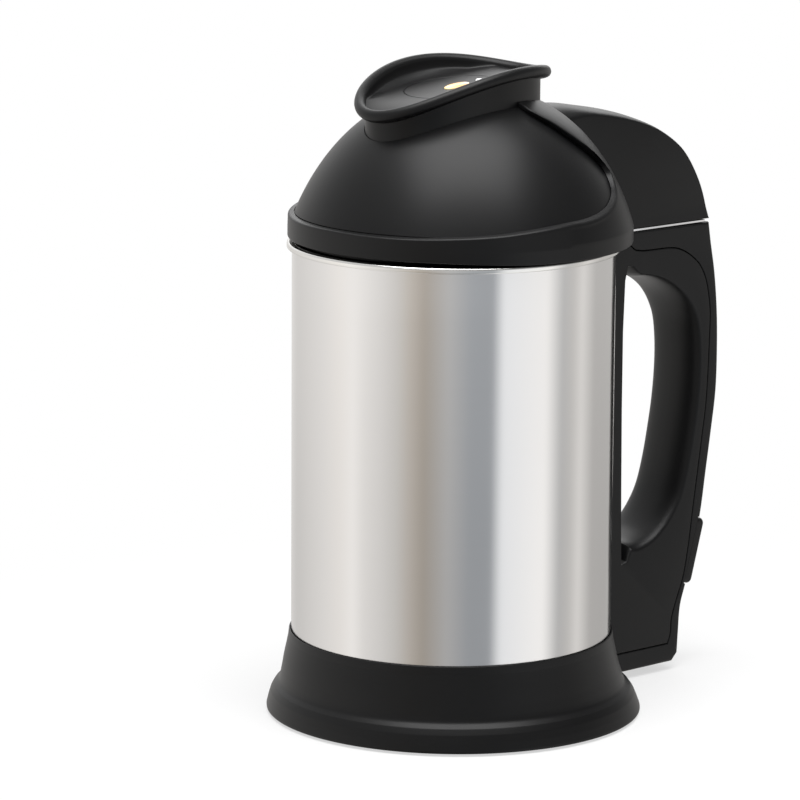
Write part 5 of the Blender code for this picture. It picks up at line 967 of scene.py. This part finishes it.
# Blade: four arms stamped from hard stainless sheet, two swept up and two down, ground sharp on
# the edge that leads. A nut clamps it on the stud.
blade_foot = 0.0722
hub_profile = arc_corners(milli((3.3, 73.7, 0.1), (3.3, 72.2, 0.1), (8, 72.2, 0.2), (8, 73.7, 0.2),
    (3.3, 73.7, 0)), 2)
blade = settle("swept_blade", spun(hub_profile, 64), "rotor", bright, ["chopping_blade"])
arm_section = ((-0.5, 0.0002), (-0.47, 0), (0.5, 0), (0.28, 0.0015), (-0.47, 0.0015), (-0.5, 0.0013))
for i in range(4):
    turn = tau * (i + 0.2) / 4
    lift = 0.009 if i % 2 == 0 else -0.0045
    ahead, across = Vector((cos(turn), sin(turn), 0)), Vector((-sin(turn), cos(turn), 0))
    arm = []
    for k in range(15):
        share = k / 14
        bend = eased(share) * 0.35 + share * 0.65 if share > 0.2 else share * 0.5
        width = 0.0095 + (0.005 - 0.0095) * share - max(0.0, share - 0.86) * 0.02
        middle = ahead * (0.0055 + (0.029 - 0.0055) * share) + Vector((0, 0, blade_foot + lift * bend * share ** 0.6))
        arm.append([middle + across * width * side + Vector((0, 0, rise)) for side, rise in arm_section])
    joined(blade, cutter(arm))
crisp(blade, 24)

# Blade nut: a hexagonal cap nut in stainless with a domed foot and chamfered corners. It screws
# on the shaft's stud and clamps the blade.
nut = []
for radius, level in milli((5, 71.9), (5.8, 71.4), (5.8, 64), (5.2, 63), (4.2, 61.9), (2.2, 61)):
    corners = oval(radius, radius, level, count=6)
    nut.append([a.lerp(b, s / 6) for a, b in zip(corners, corners[1:] + corners[:1]) for s in range(6)])
for row, roundness in zip(nut, (0.5, 0.0, 0.0, 0.5, 1.0, 1.0)):
    reach = max(point.to_2d().length for point in row)
    for point in row:
        flat = point.to_2d()
        flat = flat.lerp(flat.normalized() * reach * 0.93, roundness)
        point.x, point.y = flat.x, flat.y
cap_nut = settle("cap_nut", stacked(nut), "rotor", bright, ["blade_nut"])
crisp(trimmed(cap_nut, peg(0.0033, 0.076, 0.0642, 48)))

# Filter collar: a moulded ring with three bayonet grooves inside. It goes up over the pod's lugs
# and turns by 25 degrees.
collar_high, collar_low = 0.1345, 0.1145
collar_radius = (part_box("filter_collar")[1].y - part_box("filter_collar")[0].y) / 2
collar_bore = collar_radius - 0.0042
collar_profile = arc_corners([(collar_bore, collar_high, 0.0003), (collar_radius, collar_high, 0.0008),
    (collar_radius, collar_low, 0.0008), (0.0374, collar_low, 0.0002), (0.0374, 0.119, 0.0001),
    (collar_bore, 0.119, 0.0002), (collar_bore, collar_high, 0)], 5)
collar = settle("bayonet_collar", spun(collar_profile, 216), "filter_cup", black, ["filter_collar"])
gap, play, twist = 0.0003, radians(1.2), radians(25)
for i in range(3):
    place = tau * i / 3
    for centre, reach, top_level in ((place - twist / 2, lug_half + twist / 2 + play, 0.1286 + gap),
            (place - twist, lug_half + play, collar_high + 0.002)):
        turns = [centre + reach * k / 14 for k in range(-14, 15)]
        trimmed(collar, cutter([part_ring(0.0364, 0.033, turns, z) for z in (0.1256 - gap, top_level)]))
crisp(collar)

# Filter mesh: a cup of photo-etched stainless foil, 0.8 mm thick with its rim, with fine holes all
# over. The holes are not cut: each is a dark spot of painted shade with a bump. It is tucked up into the collar and
# spot welded.
foil = Finish("etched_foil", Base_Color=(0.66, 0.65, 0.63, 1), Roughness=0.3, Metallic=1.0)
cells = foil.node("TexVoronoi", {"Vector": foil.node("TexCoord", output=3), "Scale": 1050.0, "Randomness": 0.12})
# Dark spots in the middle of each cell are painted shade for the holes, and the same spots give the bump its dimples.
hole_shade_spots = foil.node("MapRange", {0: cells, 1: 0.3, 2: 0.4})
foil.wear(160, 3, 0.1, 0.24)
foil.feed(Normal=foil.bump(hole_shade_spots, 0.00005, 0.4), Base_Color=foil.mix(hole_shade_spots, (0.035, 0.034, 0.033, 1),
    (0.66, 0.65, 0.63, 1)))
mesh_profile = arc_corners(milli((0, 49.2, 0), (37.1, 49.2, 9.8), (37.1, 118.7, 0.2), (36.3, 118.7, 0.2),
    (36.3, 50, 9), (0, 50, 0)), 12)
settle("etched_cup", spun(mesh_profile, 160), "filter_cup", foil, ["filter_mesh"], "bright_steel")

# Every guide goes once its cuts are made.
for leftover in [o for o in bpy.data.objects if o.name.startswith(("guide", "cap_guide"))]:
    bpy.data.objects.remove(leftover)

# Motor, bearings, bridges, fan, switch, circuit board, heater and handle screws keep their packed
# shapes inside the product, and get their finishes: cast aluminium, laminated and turned steel,
# copper on the rotor core, green on the glass-fibre board.
finishes = {finish.slot: finish
    for finish in (black, satin, bright, silver_trim, nylon, brass, rubber, silicone, amber, pearl)}
for name, colour, roughness, scale, stretch, metallic in (
        ("aluminium", (0.7, 0.7, 0.71), 0.38, 150, (1, 1, 1), 1.0),
        ("laminated_steel", (0.3, 0.3, 0.31), 0.5, 40, (1, 1, 60), 1.0),
        ("copper", (0.72, 0.38, 0.2), 0.35, 420, (1, 1, 1), 1.0),
        ("board", (0.02, 0.16, 0.06), 0.5, 260, (1, 1, 1), 0.0)):
    made = finishes[name] = Finish(name, name, Base_Color=(*colour, 1), Roughness=roughness, Metallic=metallic)
    mottle = made.grain(scale, 3, stretch)
    dark, light = (tuple(min(1, share * part) for part in colour) + (1,) for share in (0.8, 1.15))
    made.feed(Roughness=mottle * 0.14 + (roughness - 0.07), Normal=made.bump(mottle, 0.00005, 0.4),
        Base_Color=made.mix(mottle, dark, light))
for node in nodes.values():
    if not node.hide_render and node.data.materials:
        slot_name = node.data.materials[0].name.split(".")[0]
        node.data.materials[0] = finishes.get(slot_name, black).block
